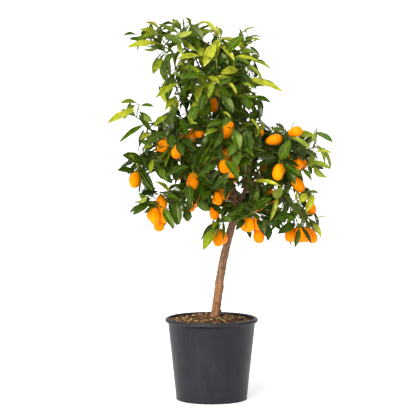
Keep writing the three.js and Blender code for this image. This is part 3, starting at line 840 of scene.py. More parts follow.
on_limb = bark.marked("grain", "Vector")
lengthwise = bark.stretched(on_limb, (1, 1, 0.12))
fibres = bark.mottle(lengthwise, 0.9, 5, 0.65)
strands = bark.mottle(lengthwise, 0.34, 3)
patches = bark.mottle(bark.on_object((1, 1, 0.6)), 130, 4)
lenticels = bark.band(bark.mottle(bark.stretched(on_limb, (1, 1, 2.2)), 0.45, 1), 0.62, 0.7)
mixed = fibres * 0.4 + strands * 0.3 + patches * 0.3
stops = (0.36, 0.47, 0.54, 0.64)
greys = (paint(68, 46, 33), paint(110, 81, 58), paint(136, 103, 75), paint(178, 143, 108))
tans = (paint(84, 54, 34), paint(130, 88, 54), paint(156, 108, 66), paint(184, 138, 94))
old = bark.ramp(mixed, stops, greys)
rootstock = bark.ramp(mixed, stops, tans)
rootstock = bark.blend(bark.band(patches, 0.52, 0.66) * 0.5, rootstock, paint(122, 100, 88))
above_graft = bark.band(bark.along("Z") + patches * 0.02, 0.29, 0.296)
old = bark.blend(above_graft, rootstock, old)
old = bark.blend(lenticels * 0.5, old, paint(168, 142, 116))
old = bark.blend(bark.band(bark.marked("scar") + fibres * 0.3, 0.35, 0.6) * 0.65, old, paint(58, 48, 42))
green = bark.blend(bark.band(patches, 0.35, 0.65), paint(41, 59, 22), paint(75, 94, 39))
bark.feed("Base Color", bark.blend(bark.band(bark.marked("age") + fibres * 0.3, 0.45, 0.85), green, old))
bark.relief(fibres + lenticels * 0.3, 0.0007, 0.8)
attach(boughs, "root")
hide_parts(*wood)

# A dead stub beside the foot, dark and split.
dead = Finish("dead_wood", roughness=0.9, specular_ior_level=0.2)
dead.two_tone(500, 3, paint(38, 28, 20), paint(96, 78, 52), stretch=(1, 1, 0.2))
stub = lines_of("dead_stub", [Shoot([(15, 3, 193), (19.5, 1, 202), (22.4, 1, 213.5)], 3.6, 1.9)], 2)
bars.run(stub, Sides=9, Finish=dead.material)
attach(stub, "root")
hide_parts("trunk")

# Fallen blades and twigs that lie on the soil.
BLADES = [
    [(-24, -52), (-13, -34)], [(19, -34), (33, -56)], [(-16, 62), (-2, 58), (4, 30)], [(-70, 6), (-58, -2)],
    [(64, 30), (76, 22)],
]
straw = Finish("dry_straw", roughness=0.7, specular_ior_level=0.3)
straw.two_tone(22, 1, paint(120, 132, 40), paint(190, 160, 92), (0.4, 0.6))
fallen = []
for k, path in enumerate(BLADES):
    fallen.append(Shoot([(x, y, soil_height(x, y) + 2.6 + k % 2) for x, y in path], 1.1, 0.8))
strands = lines_of("fallen_blades", fallen, 4)
bars.run(strands, Sides=6, Finish=straw.material)
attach(strands, "root")
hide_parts("soil")

# ---- Twigs ----
# Each mass of foliage has one stem, which goes on from its bough. Fruiting twigs arch from it to their
# bunches, plain ones spread through the mass, and finer ones fork from the plain ones. New growth is round,
# green and smooth.
GOLDEN = math.pi * (3 - math.sqrt(5))
CROWN_EDGE = 1.16  # tips may stand this far out, as a share of a mass's reach
IN_OPENINGS = 0.12  # the share of a leaf or twig that may lie in the openings
TWIGS = 8  # plain twigs of a full mass
SPRAY = 6  # leaves on a stem or a twig
FINE_SPRAY = 4
IN_WAY = 12  # a twig this close to the middle of a fruit, and in front of it, is in the way
NEARBY = 75.0  # how far round a leaf or twig to look for what it could touch
GREEN_SHEEN = (1, 1, 0.35, 1)  # the tint of what leaves and green twigs reflect
BUNCHES = [  # where each fruiting twig ends, and how many fruit hang there
    (-182, -36, 554, 1), (-128, -60, 470, 3), (-114, -76, 638, 1), (-84, -90, 620, 1), (-58, -46, 654, 1),
    (-34, -56, 664, 1), (36, -104, 677, 1), (0, -40, 730, 1), (-46, -90, 558, 1), (-42, -64, 512, 1),
    (12, -88, 510, 1), (4, -56, 474, 1), (18, -52, 416, 2),
    (26, -118, 590, 1), (48, -104, 582, 2), (30, -68, 612, 1), (102, -40, 664, 1), (141, -52, 646, 1),
    (194, -36, 664, 1), (158, -74, 574, 2), (204, -34, 590, 2), (199, -50, 544, 1), (136, -30, 512, 1),
    (91, -84, 450, 3), (108, -70, 421, 1), (202, -58, 423, 4), (231, -38, 421, 1), (231, -10, 482, 1),
    (-120, -44, 499, 1), (-126, -44, 445, 1), (27, -60, 528, 1),
    (-118, 120, 600, 2), (-84, 132, 556, 1), (-2, 170, 592, 2), (50, 168, 546, 1), (176, 130, 600, 2),
    (126, 138, 556, 1), (-44, 100, 482, 2), (118, 98, 472, 2), (30, 132, 686, 1),
]
TUCKED = {4, 5, 7, 9, 16, 20, 22, 30}  # bunches that leaves may cover
SPREAD = (0, 0, 8, 10, 12)  # how far each fruit hangs from the middle, by the number in its bunch
LEAN = (0, 0.12, 0.28, 0.33, 0.38)  # how much each fruit leans out, by the number in its bunch
SWUNG = {  # bunches that don't hang straight down, and how far they swing to the right, in degrees
    0: -14, 2: -50, 3: -12, 4: 74, 5: 60, 6: -36, 8: -16, 16: 80, 17: 96, 18: 102, 20: 38, 21: 27, 26: 18,
    27: 10,
}
FRUIT_LENGTH = 38
FRUIT_WIDTH = 24.5
FRUIT_STALK = 7
FULL = {  # the share of its twigs that a thin mass has
    "top_left": 0.5, "top_middle": 0.75, "top_centre": 0.85, "top_right": 0.7, "left_shoot": 0.25,
    "left_wing": 0.7, "right_shoot": 0.4, "upper_left": 0.7, "left_low": 0.8, "low_sprig": 0.7,
}
OPENINGS = [  # places where nothing may close the view through the crown from the front: across, up, radius
    (-175, 798, 21), (50, 901, 21), (176, 683, 21), (-154, 737, 21), (134, 821, 21), (-27, 418, 21),
    (160, 772, 21), (71, 374, 21), (-238, 697, 21), (268, 500, 21), (-152, 812, 20), (-196, 486, 20),
    (-217, 526, 19), (43, 875, 19), (223, 655, 19), (-187, 610, 19), (-159, 413, 19), (-191, 819, 18),
    (22, 901, 17), (-128, 385, 17), (-189, 662, 17), (251, 521, 17), (268, 418, 16), (-34, 908, 15),
    (78, 896, 15), (153, 716, 15), (-226, 587, 15), (287, 575, 14), (111, 838, 14), (132, 669, 14),
    (195, 664, 14), (132, 772, 14), (259, 615, 14), (-196, 460, 14), (-102, 397, 14), (-4, 910, 13),
    (-60, 416, 13), (109, 873, 12), (-137, 758, 12), (-170, 435, 12), (-6, 856, 12), (-205, 852, 12),
    (146, 795, 12), (172, 746, 12), (132, 727, 12), (-123, 692, 12), (-37, 446, 12), (-187, 875, 11),
    (-177, 723, 11), (-168, 713, 11), (172, 655, 11), (259, 648, 11), (-217, 570, 11), (-154, 702, 12),
    (-126, 706, 12), (-93, 739, 9), (-16, 420, 12), (150, 402, 9), (235, 598, 9), (118, 730, 12),
    (132, 702, 9), (75, 497, 8), (-133, 530, 10), (-110, 510, 13), (-128, 513, 9), (-108, 690, 12),
    (-22, 440, 13), (-8, 447, 9), (246, 472, 12), (230, 528, 10), (-150, 852, 8), (-176, 597, 12),
    (70, 398, 12), (-95, 725, 12), (244, 542, 10), (-135, 727, 9), (-144, 526, 9), (92, 770, 9),
    (-32, 798, 9), (244, 456, 7), (219, 524, 8), (-121, 777, 8), (43, 859, 6), (-173, 561, 6),
    (155, 667, 7), (113, 784, 7), (125, 704, 7), (-135, 852, 6), (92, 873, 7), (-16, 880, 6),
    (-130, 648, 6), (-145, 681, 7), (-122, 684, 7), (-170, 671, 7), (258, 577, 6), (132, 655, 6),
    (-177, 589, 7), (-22, 798, 6), (-101, 720, 7),
]
LONE_SHOOTS = [  # young shoots that stand out of the crown: points across and up
    [(-121, 603), (-126, 614), (-138, 630), (-147, 646), (-156, 665), (-166, 682), (-174, 699)],
    [(-80, 740), (-93, 762), (-116, 807), (-125, 822), (-132, 833)],
    [(-86, 806), (-91, 824), (-102, 838), (-114, 852), (-121, 868)],
    [(13, 782), (11, 812), (16, 845)],
    [(71, 777), (66, 809), (62, 833)],
    [(-37, 720), (-51, 781), (-60, 824), (-65, 856), (-65, 875)],
    [(209, 570), (221, 589), (229, 606), (244, 634)],
    [(198, 533), (212, 549), (225, 562)],
    [(-79, 514), (-90, 503), (-99, 490), (-113, 480)],
    [(-144, 556), (-161, 545), (-175, 538)],
]
centres = np.array([mass[2] for mass in MASSES.values()], float)
reaches = np.array([mass[3] for mass in MASSES.values()], float)
LOW, HIGH = (np.array(corner) / MM for corner in cad_box)
openings = np.array(OPENINGS, float)


def seeded(seed):
    """A stream of numbers from 0 to 1."""
    state = seed

    def draw():
        nonlocal state
        state = state * 48271 % 2147483647
        return state / 2147483647

    return draw


def between(low, high, share):
    return low + (high - low) * share


def turned(way, axis, angle):
    """A direction turned about an axis."""
    c, s = math.cos(angle), math.sin(angle)
    return way * c + np.cross(axis, way) * s + axis * np.dot(axis, way) * (1 - c)


def owner_of(point):
    """The number of the mass whose space a point lies in."""
    return int(np.argmin(((centres - point) ** 2).sum(1) - reaches.mean(1) ** 2))


def in_box(points):
    """Whether points lie in the CAD's box or close to it."""
    return bool((points > LOW - 6).all() and (points < HIGH + 6).all())


def in_crown(points):
    """Whether points lie within the masses' reach and clear of the openings."""
    away = (points[:, None] - centres) / reaches
    if not in_box(points) or (np.sqrt((away**2).sum(2)).min(1) > CROWN_EDGE).any():
        return False
    nearer = EYE_BACK / (EYE_BACK + points[:, 1])
    across = (points[:, 0] - EYE_ACROSS) * nearer + EYE_ACROSS
    up = (points[:, 2] - EYE_UP) * nearer + EYE_UP
    gaps = np.hypot(across[:, None] - openings[:, 0], up[:, None] - openings[:, 1]) - openings[:, 2]
    return (gaps.min(1) < 0).sum() < IN_OPENINGS * len(points)


def front_of(across, up, depth):
    """A depth in the crown, as a share of the way from the middle to the front of the mass at a place."""
    away = ((centres[:, 0] - across) / reaches[:, 0]) ** 2 + ((centres[:, 2] - up) / reaches[:, 2]) ** 2
    near = centres[:, 1] - reaches[:, 1] * np.sqrt(np.clip(1 - away, 0, 1))
    mass = int(np.argmin(np.where(away < 1, near, 1e3))) if (away < 1).any() else int(np.argmin(away))
    return between(centres[mass, 1], near[mass], depth)


class Beads:
    """Small balls that mark what has grown, so that what grows later keeps clear of it."""

    def __init__(self):
        self.points = np.empty((0, 3))
        self.girths = np.empty(0)

    def add(self, points, girth):
        self.points = np.vstack([self.points, points])
        self.girths = np.append(self.girths, np.broadcast_to(girth, len(points)))

    def room(self, points):
        """The least distance from the points to the balls' surfaces."""
        near = (np.abs(self.points - points.mean(0)) < NEARBY).all(1)
        if not near.any():
            return NEARBY
        gaps = np.linalg.norm(points[:, None] - self.points[near], axis=2) - self.girths[near]
        return gaps.min()


woody, fruity, leafy = Beads(), Beads(), Beads()
grown = []  # every shoot so far, to fork from
fruits = []  # top, hang, size and turn of each fruit
tucked = []  # for each fruit, whether leaves may cover it
stalks = []
sprays = []  # each leafy shoot, whether it is young, how many leaves it gets, and where they start


def take(shoot, parent=None, joined=1.0):
    """Adds a shoot to what has grown. It is kept as far along as it bears something."""
    shoot.parent, shoot.joined, shoot.bears = parent, joined, 0.0
    t = np.linspace(0, 1, max(3, math.ceil(shoot.length / 4)))
    woody.add(shoot.at(t), shoot.girth(t))
    grown.append((shoot, t, shoot.at(t)))
    return shoot


def bear(shoot, t):
    """Notes that a shoot bears something at t, and so do those that it grows from where it joins them."""
    while shoot is not None and shoot.bears < t:
        shoot.bears = t
        shoot, t = shoot.parent, shoot.joined


def nearest(point):
    """The shoot that a twig to a point best forks from, and how far along it: close, not across a fruit."""
    ends = []
    for shoot, shares, points in grown:
        gaps = np.linalg.norm(points - point, axis=1)
        k = int(np.argmin(gaps))
        ends.append((gaps[k], shoot, shares[k], points[k]))
    ends = sorted(ends, key=lambda end: end[0])[:14]
    cores = fruity.points[(np.abs(fruity.points - point) < 60).all(1)]

    def cost(end):
        line = end[3] + (point - end[3]) * np.linspace(0.05, 0.95, 9)[:, None]
        near = np.hypot(line[:, None, 0] - cores[:, 0], line[:, None, 2] - cores[:, 2]) < IN_WAY
        return end[0] + 9 * (near & (line[:, None, 1] < cores[:, 1] + IN_WAY)).sum() ** 0.5

    _, shoot, share, _ = min(ends, key=cost) if len(cores) else ends[0]
    return shoot, share


def bowed(start, end, rise, age, base=1.45, tip=0.9):
    """A twig from start to end that arches up by a share of its length."""
    middle = (start + end) / 2 + UP * rise * np.linalg.norm(end - start)
    t = np.linspace(0, 1, 7)[:, None]
    return Shoot(start * (1 - t) ** 2 + 2 * middle * t * (1 - t) + end * t**2, base, tip, age)


def hang_bunch(end, count, swing, draw):
    """The fruit of one bunch, hung round the end of its twig."""
    for k in range(count):
        angle = k / count * 2 * math.pi + 0.4 * draw() + (1.1 if count == 2 else 0)
        out = np.array((math.cos(angle), math.sin(angle), 0))
        tilt, stretch = draw(), draw()
        hang = unit(out * LEAN[count] * between(0.8, 1.2, tilt) - UP)
        top = end + out * SPREAD[count] - UP * FRUIT_STALK
        size = between(0.9, 1.08, stretch)
        if swing:
            middle = top + hang * FRUIT_LENGTH / 2 * size
            hang = unit(turned(hang, np.array((0, -1.0, 0)), math.radians(swing)))
            top = middle - hang * FRUIT_LENGTH / 2 * size
        fruits.append((top, hang, size, 6.3 * stretch))
        stalks.append(Shoot([end, (end + top) / 2 + out * 1.5, top + hang * 1.5], 1.3, 1.1, (0, 0)))
        core = np.array([top + hang * share * FRUIT_LENGTH * size for share in (0.12, 0.35, 0.6, 0.85)])
        fruity.add(core, 0.5 * FRUIT_WIDTH * size * np.array((0.6, 0.9, 1, 0.7)))


for shoot in wood.values():
    take(shoot)
for index, (name, (_, _, centre, reach, young, _)) in enumerate(MASSES.items()):
    draw = seeded(7919 * (index + 1))
    centre, reach = np.array(centre, float), np.array(reach, float)
    carrier = carriers[name]
    ahead = carrier.heading(1)
    root = carrier.at(1.0) - ahead
    end = root + (centre - root) * 1.15
    first = root + ahead * np.linalg.norm(end - root) / 3
    leafage = (carrier.years(1), 0)
    stem = take(Shoot(smooth_line([root, first, (first + end) / 2, end]), carrier.girth(1), 1.3, leafage))
    sprays.append((stem, young, SPRAY, 0.4))

    for k, bunch in enumerate(b for b in BUNCHES if owner_of(np.array(b[:3]) - UP * 26) == index):
        joined = min(0.9, 0.35 + 0.13 * k)
        twig = take(bowed(stem.at(joined), np.array(bunch[:3], float), 0.12, leafage), stem, joined)
        number = BUNCHES.index(bunch)
        hang_bunch(twig.at(0.99), bunch[3], SWUNG.get(number, 0), draw)
        tucked += [number in TUCKED] * bunch[3]
        bear(twig, 1)
        sprays.append((twig, young, SPRAY, 0.55))

    count = round(TWIGS * FULL.get(name, 1))
    for k in range(count):
        angle = k * GOLDEN + 2 * math.pi * draw()
        rise = 1 - (2 * k + 1) / count
        level = math.sqrt(1 - rise * rise)
        way = np.array((level * math.cos(angle), level * math.sin(angle), rise))
        tip = centre + way * reach * between(0.45, 0.85, draw())
        joined = between(1, 0.2, (k + 0.5) / count)
        twig = take(bowed(stem.at(joined), tip, 0.1, leafage), stem, joined)
        sprays.append((twig, young, SPRAY, 0.45))
        for side in range(1 + k % 2):
            t = between(0.35, 0.75, draw())
            ahead = twig.heading(t)
            out = turned(unit(np.cross(ahead, UP) + 1e-6), ahead, 2 * math.pi * draw())
            tip = twig.at(t) + (ahead * 0.7 + out * 0.7 + UP * 0.2) * between(22, 38, draw())
            finer = bowed(twig.at(t), tip, 0.08, (0, 0), 1.1, 0.75)
            if in_crown(finer.line[2:]) and fruity.room(finer.line[2:]) > 1:
                sprays.append((take(finer, twig, t), young, FINE_SPRAY, 0.5))
for path in LONE_SHOOTS:
    line = smooth_line([(x, front_of(x, z, 0.35), z) for x, z in path])
    parent, joined = nearest(line[0])
    line = np.vstack([parent.at(joined), line])
    bear(take(Shoot(line, 2, 1.1, (0, 0)), parent, joined), 1)

tender = Finish("green_twig", roughness=0.5, specular_ior_level=0.25, specular_tint=GREEN_SHEEN)
tender.two_tone(60, 3, paint(52, 76, 20), paint(104, 122, 38), (0.35, 0.65))
tender.bumps(900, 2, 0.0003)

# ---- Fruit ----
# Kumquats: egg-shaped, as long as a thumb's end joint, fullest below the middle. The peel is thin, waxy and
# orange, with an oil gland in each of its fine pits, and a small green calyx holds it to the stalk.
PLUMP = 1.09  # how much wider the fruit is than FRUIT_WIDTH, which is what grows round it keeps clear of


def fruit_radius(share):
    """The fruit's radius at a share of its length from the stalk, where 0.5 is its full half-width."""
    angle = math.acos(1 - 2 * share)
    return 0.5 * math.sin(angle) ** 0.92 * (1 - 0.17 * math.cos(angle))


def round_pattern(name, rings, segments):
    """A closed round body that hangs from the origin, from rings of (depth, radius), poles at both ends."""
    made = lathe(name, [(r, -d) for d, r in reversed(rings)], segments)
    scene.collection.objects.unlink(made)
    return made


def placed_copies(recipe):
    """One copy of a pattern at each point, as the attributes that places() wrote there say."""
    return recipe.set_out(recipe.given("Geometry"), {
        "Instance Index": recipe.named("pattern", "INT"),
        "Rotation": recipe.named("turn", "QUATERNION"),
        "Scale": recipe.named("size", "FLOAT_VECTOR"),
    })


def places(name, points, frames, sizes, patterns):
    """One point for each copy: its place, the three axes it is turned to, its size and its pattern."""
    mesh = bpy.data.meshes.new(name)
    mesh.from_pydata((np.array(points) * MM).tolist(), [], [])
    turns = [part for axes in frames for part in Matrix(np.array(axes).T.tolist()).to_quaternion()]
    write(mesh, "turn", "QUATERNION", turns)
    write(mesh, "size", "FLOAT_VECTOR", np.ravel(sizes))
    write(mesh, "pattern", "INT", patterns)
    return in_scene(name, mesh)


fruiting = Recipe("fruiting", Patterns="Collection", Finish="Material")
fruiting.ends_in(placed_copies(fruiting), fruiting.given("Finish"))
fruiting.close()

shares = (1 - np.cos(np.linspace(0, math.pi, 13))) / 2
shapes = []
for k, stretch in enumerate((1, 0.92, 1.1)):
    rings = [(share * FRUIT_LENGTH * stretch, fruit_radius(share) * FRUIT_WIDTH * PLUMP) for share in shares]
    rings[0] = (0.9, 0)
    shapes.append(round_pattern(f"fruit_{k}", rings, 20))
peel = Finish(
    "orange_peel", roughness=0.4, specular_ior_level=0.16, specular_tint=(1, 0.75, 0.2, 1), coat_weight=0.03,
    coat_roughness=0.2, subsurface_weight=0.1, subsurface_scale=0.003, subsurface_radius=(1, 0.3, 0.05),
)
peel.two_tone(22, 2, paint(255, 148, 0), paint(254, 132, 0), (0.35, 0.68))
pits = peel.node("ShaderNodeTexVoronoi", {"feature": "SMOOTH_F1"}, {
    "Vector": peel.on_object(), "Scale": 950, "Smoothness": 0.6,
})
peel.relief(pits * 0.8 + peel.mottle(peel.on_object(), 160, 2) * 0.4, 0.0004, 0.35)

frames, sizes = [], []
for top, hang, size, turn in fruits:
    across = turned(unit(np.cross(hang, (1, 0.2, 0.1))), hang, turn)
    frames.append((across, np.cross(-hang, across), -hang))
    sizes.append((size, size, size))
tops = [top for top, _, _, _ in fruits]
kumquats = places("kumquats", tops, frames, sizes, [k % 3 for k in range(len(tops))])
fruiting.run_with(shapes, kumquats, Finish=peel.material)
kumquats.data.shade_smooth()
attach(kumquats, "root")
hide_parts(*MASSES)

rings = [(-1.6, 0), (-1.4, 1.5), (-0.4, 3.2), (0.5, 4.3), (1.4, 4.4), (1.8, 3.2), (2.0, 0)]
calyx = round_pattern("calyx", rings, 10)
for vertex in list(calyx.data.vertices)[3::2]:  # every other point is drawn in, which leaves five lobes
    vertex.co.x *= 0.72
    vertex.co.y *= 0.72
calyxes = places("calyxes", tops, frames, sizes, [0] * len(tops))
fruiting.run_with([calyx], calyxes, Finish=tender.material)
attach(calyxes, "root")
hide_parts(*MASSES)

# ---- Leaves ----
# Citrus leaves on short stalks: a leathery blade, folded a little along its sunk pale midrib, glossy dark
# green above and dull and paler below. New ones are longer, thinner, softer and yellow-green. Each spray's
# leaves have one tint.
BLADE_FROM = 0.13  # the stalk's share of the length
STALK_HALF, POINT_HALF = 0.011, 0.003  # half-widths as shares of the length
ACROSS = (-1, -0.5, -0.06, 0.06, 0.5, 1)
ALONG = (0, 0.12, 0.17, 0.27, 0.4, 0.54, 0.68, 0.81, 0.91, 0.97, 1)


def leaf_point(form, t, across, lift=0.0):
    """A point on a leaf of length 1 that leaves the origin along +Y with its upper face up."""
    width, bend, fold, wave, twist, phase = form
    s = max(0.0, (t - BLADE_FROM) / (1 - BLADE_FROM))
    if s <= 0:
        half = STALK_HALF
    elif s < 0.999:
        half = max(STALK_HALF, 0.5 * width * math.sin(math.pi * s**0.88) ** 0.8)
    else:
        half = POINT_HALF
    sink = bend * t
    middle = np.array((0, math.sin(sink) / bend, -(1 - math.cos(sink)) / bend))
    normal = np.array((0, math.sin(sink), math.cos(sink)))
    side = np.array((1.0, 0, 0))
    c, r = math.cos(twist * t), math.sin(twist * t)
    side, normal = side * c + normal * r, normal * c - side * r
    edge = abs(across)
    ripple = math.sin(11 * t + phase + (2.1 if across > 0 else 0))
    rise = half * (edge * math.sin(fold) + wave * edge**2 * ripple)
    return middle + side * across * half * math.cos(fold) + normal * (rise + lift)


def leaf_pattern(name, form):
    """A closed thin leaf: five strips above, the middle one the midrib, and two below."""
    ring = len(ACROSS) + 1
    points = []
    for t in ALONG:
        sunk = 0.006 if t > BLADE_FROM else 0
        points += [leaf_point(form, t, u, -sunk if abs(u) < 0.1 else 0) for u in ACROSS]
        points.append(leaf_point(form, t, 0, -0.018 if t < 0.95 else -0.006))
    faces = [tuple(range(ring))]
    strips = [-1]
    for k in range(len(ALONG) - 1):
        for j in range(ring):
            a, b = k * ring + j, k * ring + (j + 1) % ring
            faces.append((a, b, b + ring, a + ring))
            strips.append(j)
    faces.append(tuple(range((len(ALONG) - 1) * ring, len(ALONG) * ring)))
    strips.append(-1)
    made = shape(name, np.array(points) / MM, faces)
    scene.collection.objects.unlink(made)
    built = bmesh.new()
    built.from_mesh(made.data)
    bmesh.ops.recalc_face_normals(built, faces=built.faces)
    built.to_mesh(made.data)
    built.free()
    mesh = made.data
    write(mesh, "under", "BOOLEAN", [strip in (5, 6) for strip in strips], "FACE")
    write(mesh, "rib", "BOOLEAN", [strip == 2 for strip in strips], "FACE")
    for edge in mesh.edges:
        if {corner % ring for corner in edge.vertices} in ({0}, {len(ACROSS) - 1}):
            edge.use_edge_sharp = True
    return made


FORMS = {  # width, bend, fold, wave, twist and the wave's phase; each leaf of its kind picks one
    "old": [
        (0.34, 0.35, 0.25, 0.08, 0.2, 0), (0.32, 0.6, 0.35, 0.1, -0.3, 2), (0.36, 0.2, 0.18, 0.1, 0.3, 4),
        (0.31, 0.5, 0.4, 0.06, 0.1, 1), (0.35, -0.2, 0.3, 0.1, -0.2, 3), (0.33, 0.85, 0.3, 0.12, 0.4, 5),
    ],
    "young": [
        (0.29, 0.6, 0.35, 0.08, 0.3, 0), (0.26, 0.9, 0.45, 0.1, -0.4, 2), (0.31, 0.4, 0.3, 0.1, 0.2, 4),
        (0.3, 1.15, 0.4, 0.12, 0.5, 1), (0.27, 0.25, 0.4, 0.08, -0.3, 3), (0.31, 0.75, 0.25, 0.14, 0.5, 5),
    ],
}
samples = [(t, u) for t in (0.3, 0.45, 0.6, 0.75, 0.9, 1) for u in (-1, 0, 1)]
probes = {}  # a few points of each form, to try a leaf's place with
for kind, forms in FORMS.items():
    probes[kind] = [np.array([leaf_point(form, t, u) for t, u in samples]) for form in forms]
PLACED = [  # leaves that stand out: base and tip, across and up; width, below 0 if the underside shows; tint
    (-121, 871, -157, 895, 11, "L"), (-124, 862, -172, 876, 11, "L"), (-123, 861, -185, 848, 14, "M"),
    (-124, 860, -166, 857, 11, "F"), (-174, 862, -208, 863, 10, "M"), (-122, 839, -205, 833, 12, "L"),
    (-126, 836, -161, 830, -12, "M"), (-113, 860, -61, 842, 19, "M"), (-95, 862, -74, 905, 14, "F"),
    (-51, 885, -62, 907, 12, "M"), (-85, 865, -40, 873, -19, "L"), (-51, 886, -16, 848, 19, "K"),
    (-84, 884, -119, 887, 10, "K"), (-117, 807, -139, 769, 19, "F"), (-86, 818, -110, 798, 17, "M"),
    (-107, 805, -111, 770, 14, "K"), (-88, 775, -106, 703, 19, "K"), (-102, 769, -122, 737, -10, "K"),
    (-76, 748, -136, 711, 14, "F"), (-27, 809, -86, 804, 12, "L"), (-20, 760, -82, 765, 13, "M"),
    (-33, 884, 5, 892, 13, "L"), (9, 869, -20, 869, 10, "F"), (16, 847, 16, 884, -17, "F"),
    (42, 848, 24, 856, 8, "L"), (32, 819, 80, 867, 22, "M"), (70, 865, 104, 884, 11, "L"),
    (78, 844, 109, 859, -17, "F"), (79, 846, 117, 851, 10, "F"), (58, 822, 112, 820, 12, "M"),
    (55, 811, 114, 801, 14, "L"), (53, 809, 96, 789, 12, "M"), (95, 798, 141, 782, 11, "F"),
    (80, 788, 122, 759, 16, "F"), (82, 758, 176, 727, 20, "L"), (71, 767, 108, 732, 14, "K"),
    (61, 780, 16, 773, 19, "L"), (36, 748, 59, 722, 13, "L"), (8, 751, -10, 711, 12, "F"),
    (79, 723, 122, 723, -14, "M"), (45, 757, 11, 743, 12, "M"), (100, 713, 141, 704, 12, "K"),
    (71, 748, 101, 735, 12, "F"), (-174, 700, -217, 706, 14, "F"), (-165, 697, -131, 697, 12, "M"),
    (-178, 697, -208, 664, 12, "L"), (-176, 686, -250, 654, 17, "L"), (-158, 678, -142, 659, -14, "M"),
    (-155, 653, -222, 609, 11, "M"), (-142, 632, -170, 618, 11, "L"), (-112, 635, -158, 602, 19, "K"),
    (-134, 602, -161, 594, 10, "F"), (-158, 564, -213, 585, 24, "K"), (-176, 552, -194, 587, 7, "L"),
    (-144, 572, -165, 578, 14, "D"), (-178, 540, -224, 549, 17, "K"), (-110, 647, -126, 676, 14, "K"),
    (-101, 669, -138, 647, 11, "F"), (-96, 640, -77, 704, 22, "K"), (-81, 715, -111, 685, 14, "F"),
    (-96, 629, -89, 593, 19, "K"), (-166, 541, -135, 493, 17, "K"), (-164, 550, -130, 497, 12, "D"),
    (-135, 568, -144, 536, 11, "F"), (-130, 565, -116, 525, 14, "D"), (-121, 547, -98, 520, 14, "M"),
    (-51, 553, -114, 530, 19, "K"), (-52, 549, -95, 522, 14, "D"), (-100, 491, -133, 526, 11, "F"),
    (-94, 498, -113, 503, 7, "L"), (-107, 484, -72, 480, 13, "M"), (-150, 487, -174, 471, -11, "L"),
    (-144, 470, -187, 440, 19, "K"), (-135, 462, -152, 444, 10, "K"), (-113, 456, -84, 407, 20, "M"),
    (-99, 474, -76, 414, 14, "D"), (-83, 476, -75, 414, 22, "K"), (-63, 460, -53, 426, -19, "D"),
    (-51, 510, -48, 463, 20, "K"), (-37, 474, 0, 452, -17, "D"), (0, 499, -28, 471, 12, "K"),
    (87, 445, 30, 438, 20, "K"), (82, 468, 56, 453, 14, "K"), (100, 454, 143, 484, 22, "K"),
    (94, 444, 113, 430, 10, "K"), (104, 430, 128, 389, 16, "D"), (131, 416, 129, 381, 17, "D"),
    (156, 488, 133, 421, 10, "L"), (7, 405, -22, 357, 22, "F"), (17, 437, 12, 386, 10, "K"),
    (26, 425, 27, 381, 8, "M"), (12, 425, 1, 407, 11, "F"), (-1, 466, 31, 442, 14, "D"),
    (76, 429, 54, 406, 14, "D"), (165, 491, 191, 455, 17, "D"), (188, 442, 137, 429, 18, "K"),
    (196, 420, 149, 397, 18, "K"), (162, 425, 137, 416, 19, "D"), (221, 490, 201, 470, 16, "L"),
    (237, 487, 216, 447, 16, "L"), (206, 430, 238, 443, 17, "K"), (244, 427, 268, 441, 11, "F"),
    (237, 420, 256, 388, 14, "L"), (209, 413, 234, 372, 11, "D"), (204, 409, 192, 362, 12, "K"),
    (194, 435, 172, 424, 12, "M"), (197, 472, 201, 497, -17, "L"), (202, 442, 203, 465, 10, "K"),
    (172, 634, 144, 660, 11, "K"), (169, 631, 135, 647, 12, "M"), (159, 568, 185, 623, 24, "M"),
    (185, 620, 231, 596, 16, "F"), (244, 634, 287, 611, 18, "M"), (242, 636, 239, 611, -11, "F"),
    (241, 587, 284, 589, 15, "L"), (228, 562, 282, 549, 20, "F"), (240, 557, 271, 529, -21, "L"),
    (225, 555, 234, 535, 10, "K"), (209, 548, 235, 521, 13, "M"), (213, 591, 252, 572, 12, "K"),
    (98, 518, 167, 509, 14, "L"), (167, 507, 141, 483, -19, "F"), (172, 554, 196, 508, 17, "K"),
    (169, 559, 216, 527, 16, "M"), (222, 494, 249, 494, 14, "M"), (223, 495, 222, 513, 8, "K"),
    (150, 567, 95, 554, 16, "K"), (-12, 728, -28, 679, 20, "K"), (-33, 695, -51, 665, 19, "M"),
    (21, 719, 53, 675, 22, "K"), (45, 723, 75, 673, 19, "M"), (77, 722, 87, 684, 24, "M"),
    (-18, 636, -61, 650, 17, "D"), (44, 667, 21, 644, 14, "M"), (26, 659, -17, 646, 13, "M"),
    (18, 637, -20, 628, 12, "F"), (25, 637, 2, 594, 17, "K"), (50, 641, 65, 587, 23, "M"),
    (54, 605, 35, 577, 19, "M"), (12, 606, 25, 568, 14, "D"), (81, 637, 91, 586, 19, "K"),
    (54, 585, 58, 555, 19, "M"), (31, 567, 65, 523, 23, "M"), (15, 560, -36, 531, 16, "K"),
    (-37, 526, 8, 514, 14, "D"), (-16, 582, -40, 555, 12, "M"), (-33, 592, -41, 558, 17, "D"),
    (-71, 615, -36, 595, 17, "D"), (-77, 609, -65, 578, 17, "K"), (88, 664, 111, 638, 11, "L"),
    (26, 680, 45, 667, 8, "L"),
]
LOOK_DOWN = 0.09  # the slope that the places above are seen at
FORWARD = 60  # a leaf that would cover a fruit from this far in front of its place lies behind the fruit
STEPS = (0, -5, 5, -10, 10, -15, 15, -21, 20, -27, -34, -41, -49, -57)  # tries at a placed leaf's depth
PLACED_FORMS = {"old": (0, 1, 3, 0), "young": (0, 5, 2, 0)}
FULL_LENGTH = {"old": 60, "young": 70}  # of a placed leaf that points at the eye
LENGTHS = {"old": (50, 70), "young": (58, 86)}  # of the leaves of a spray
TRIES = 9  # places that each leaf of a spray tries, round its shoot
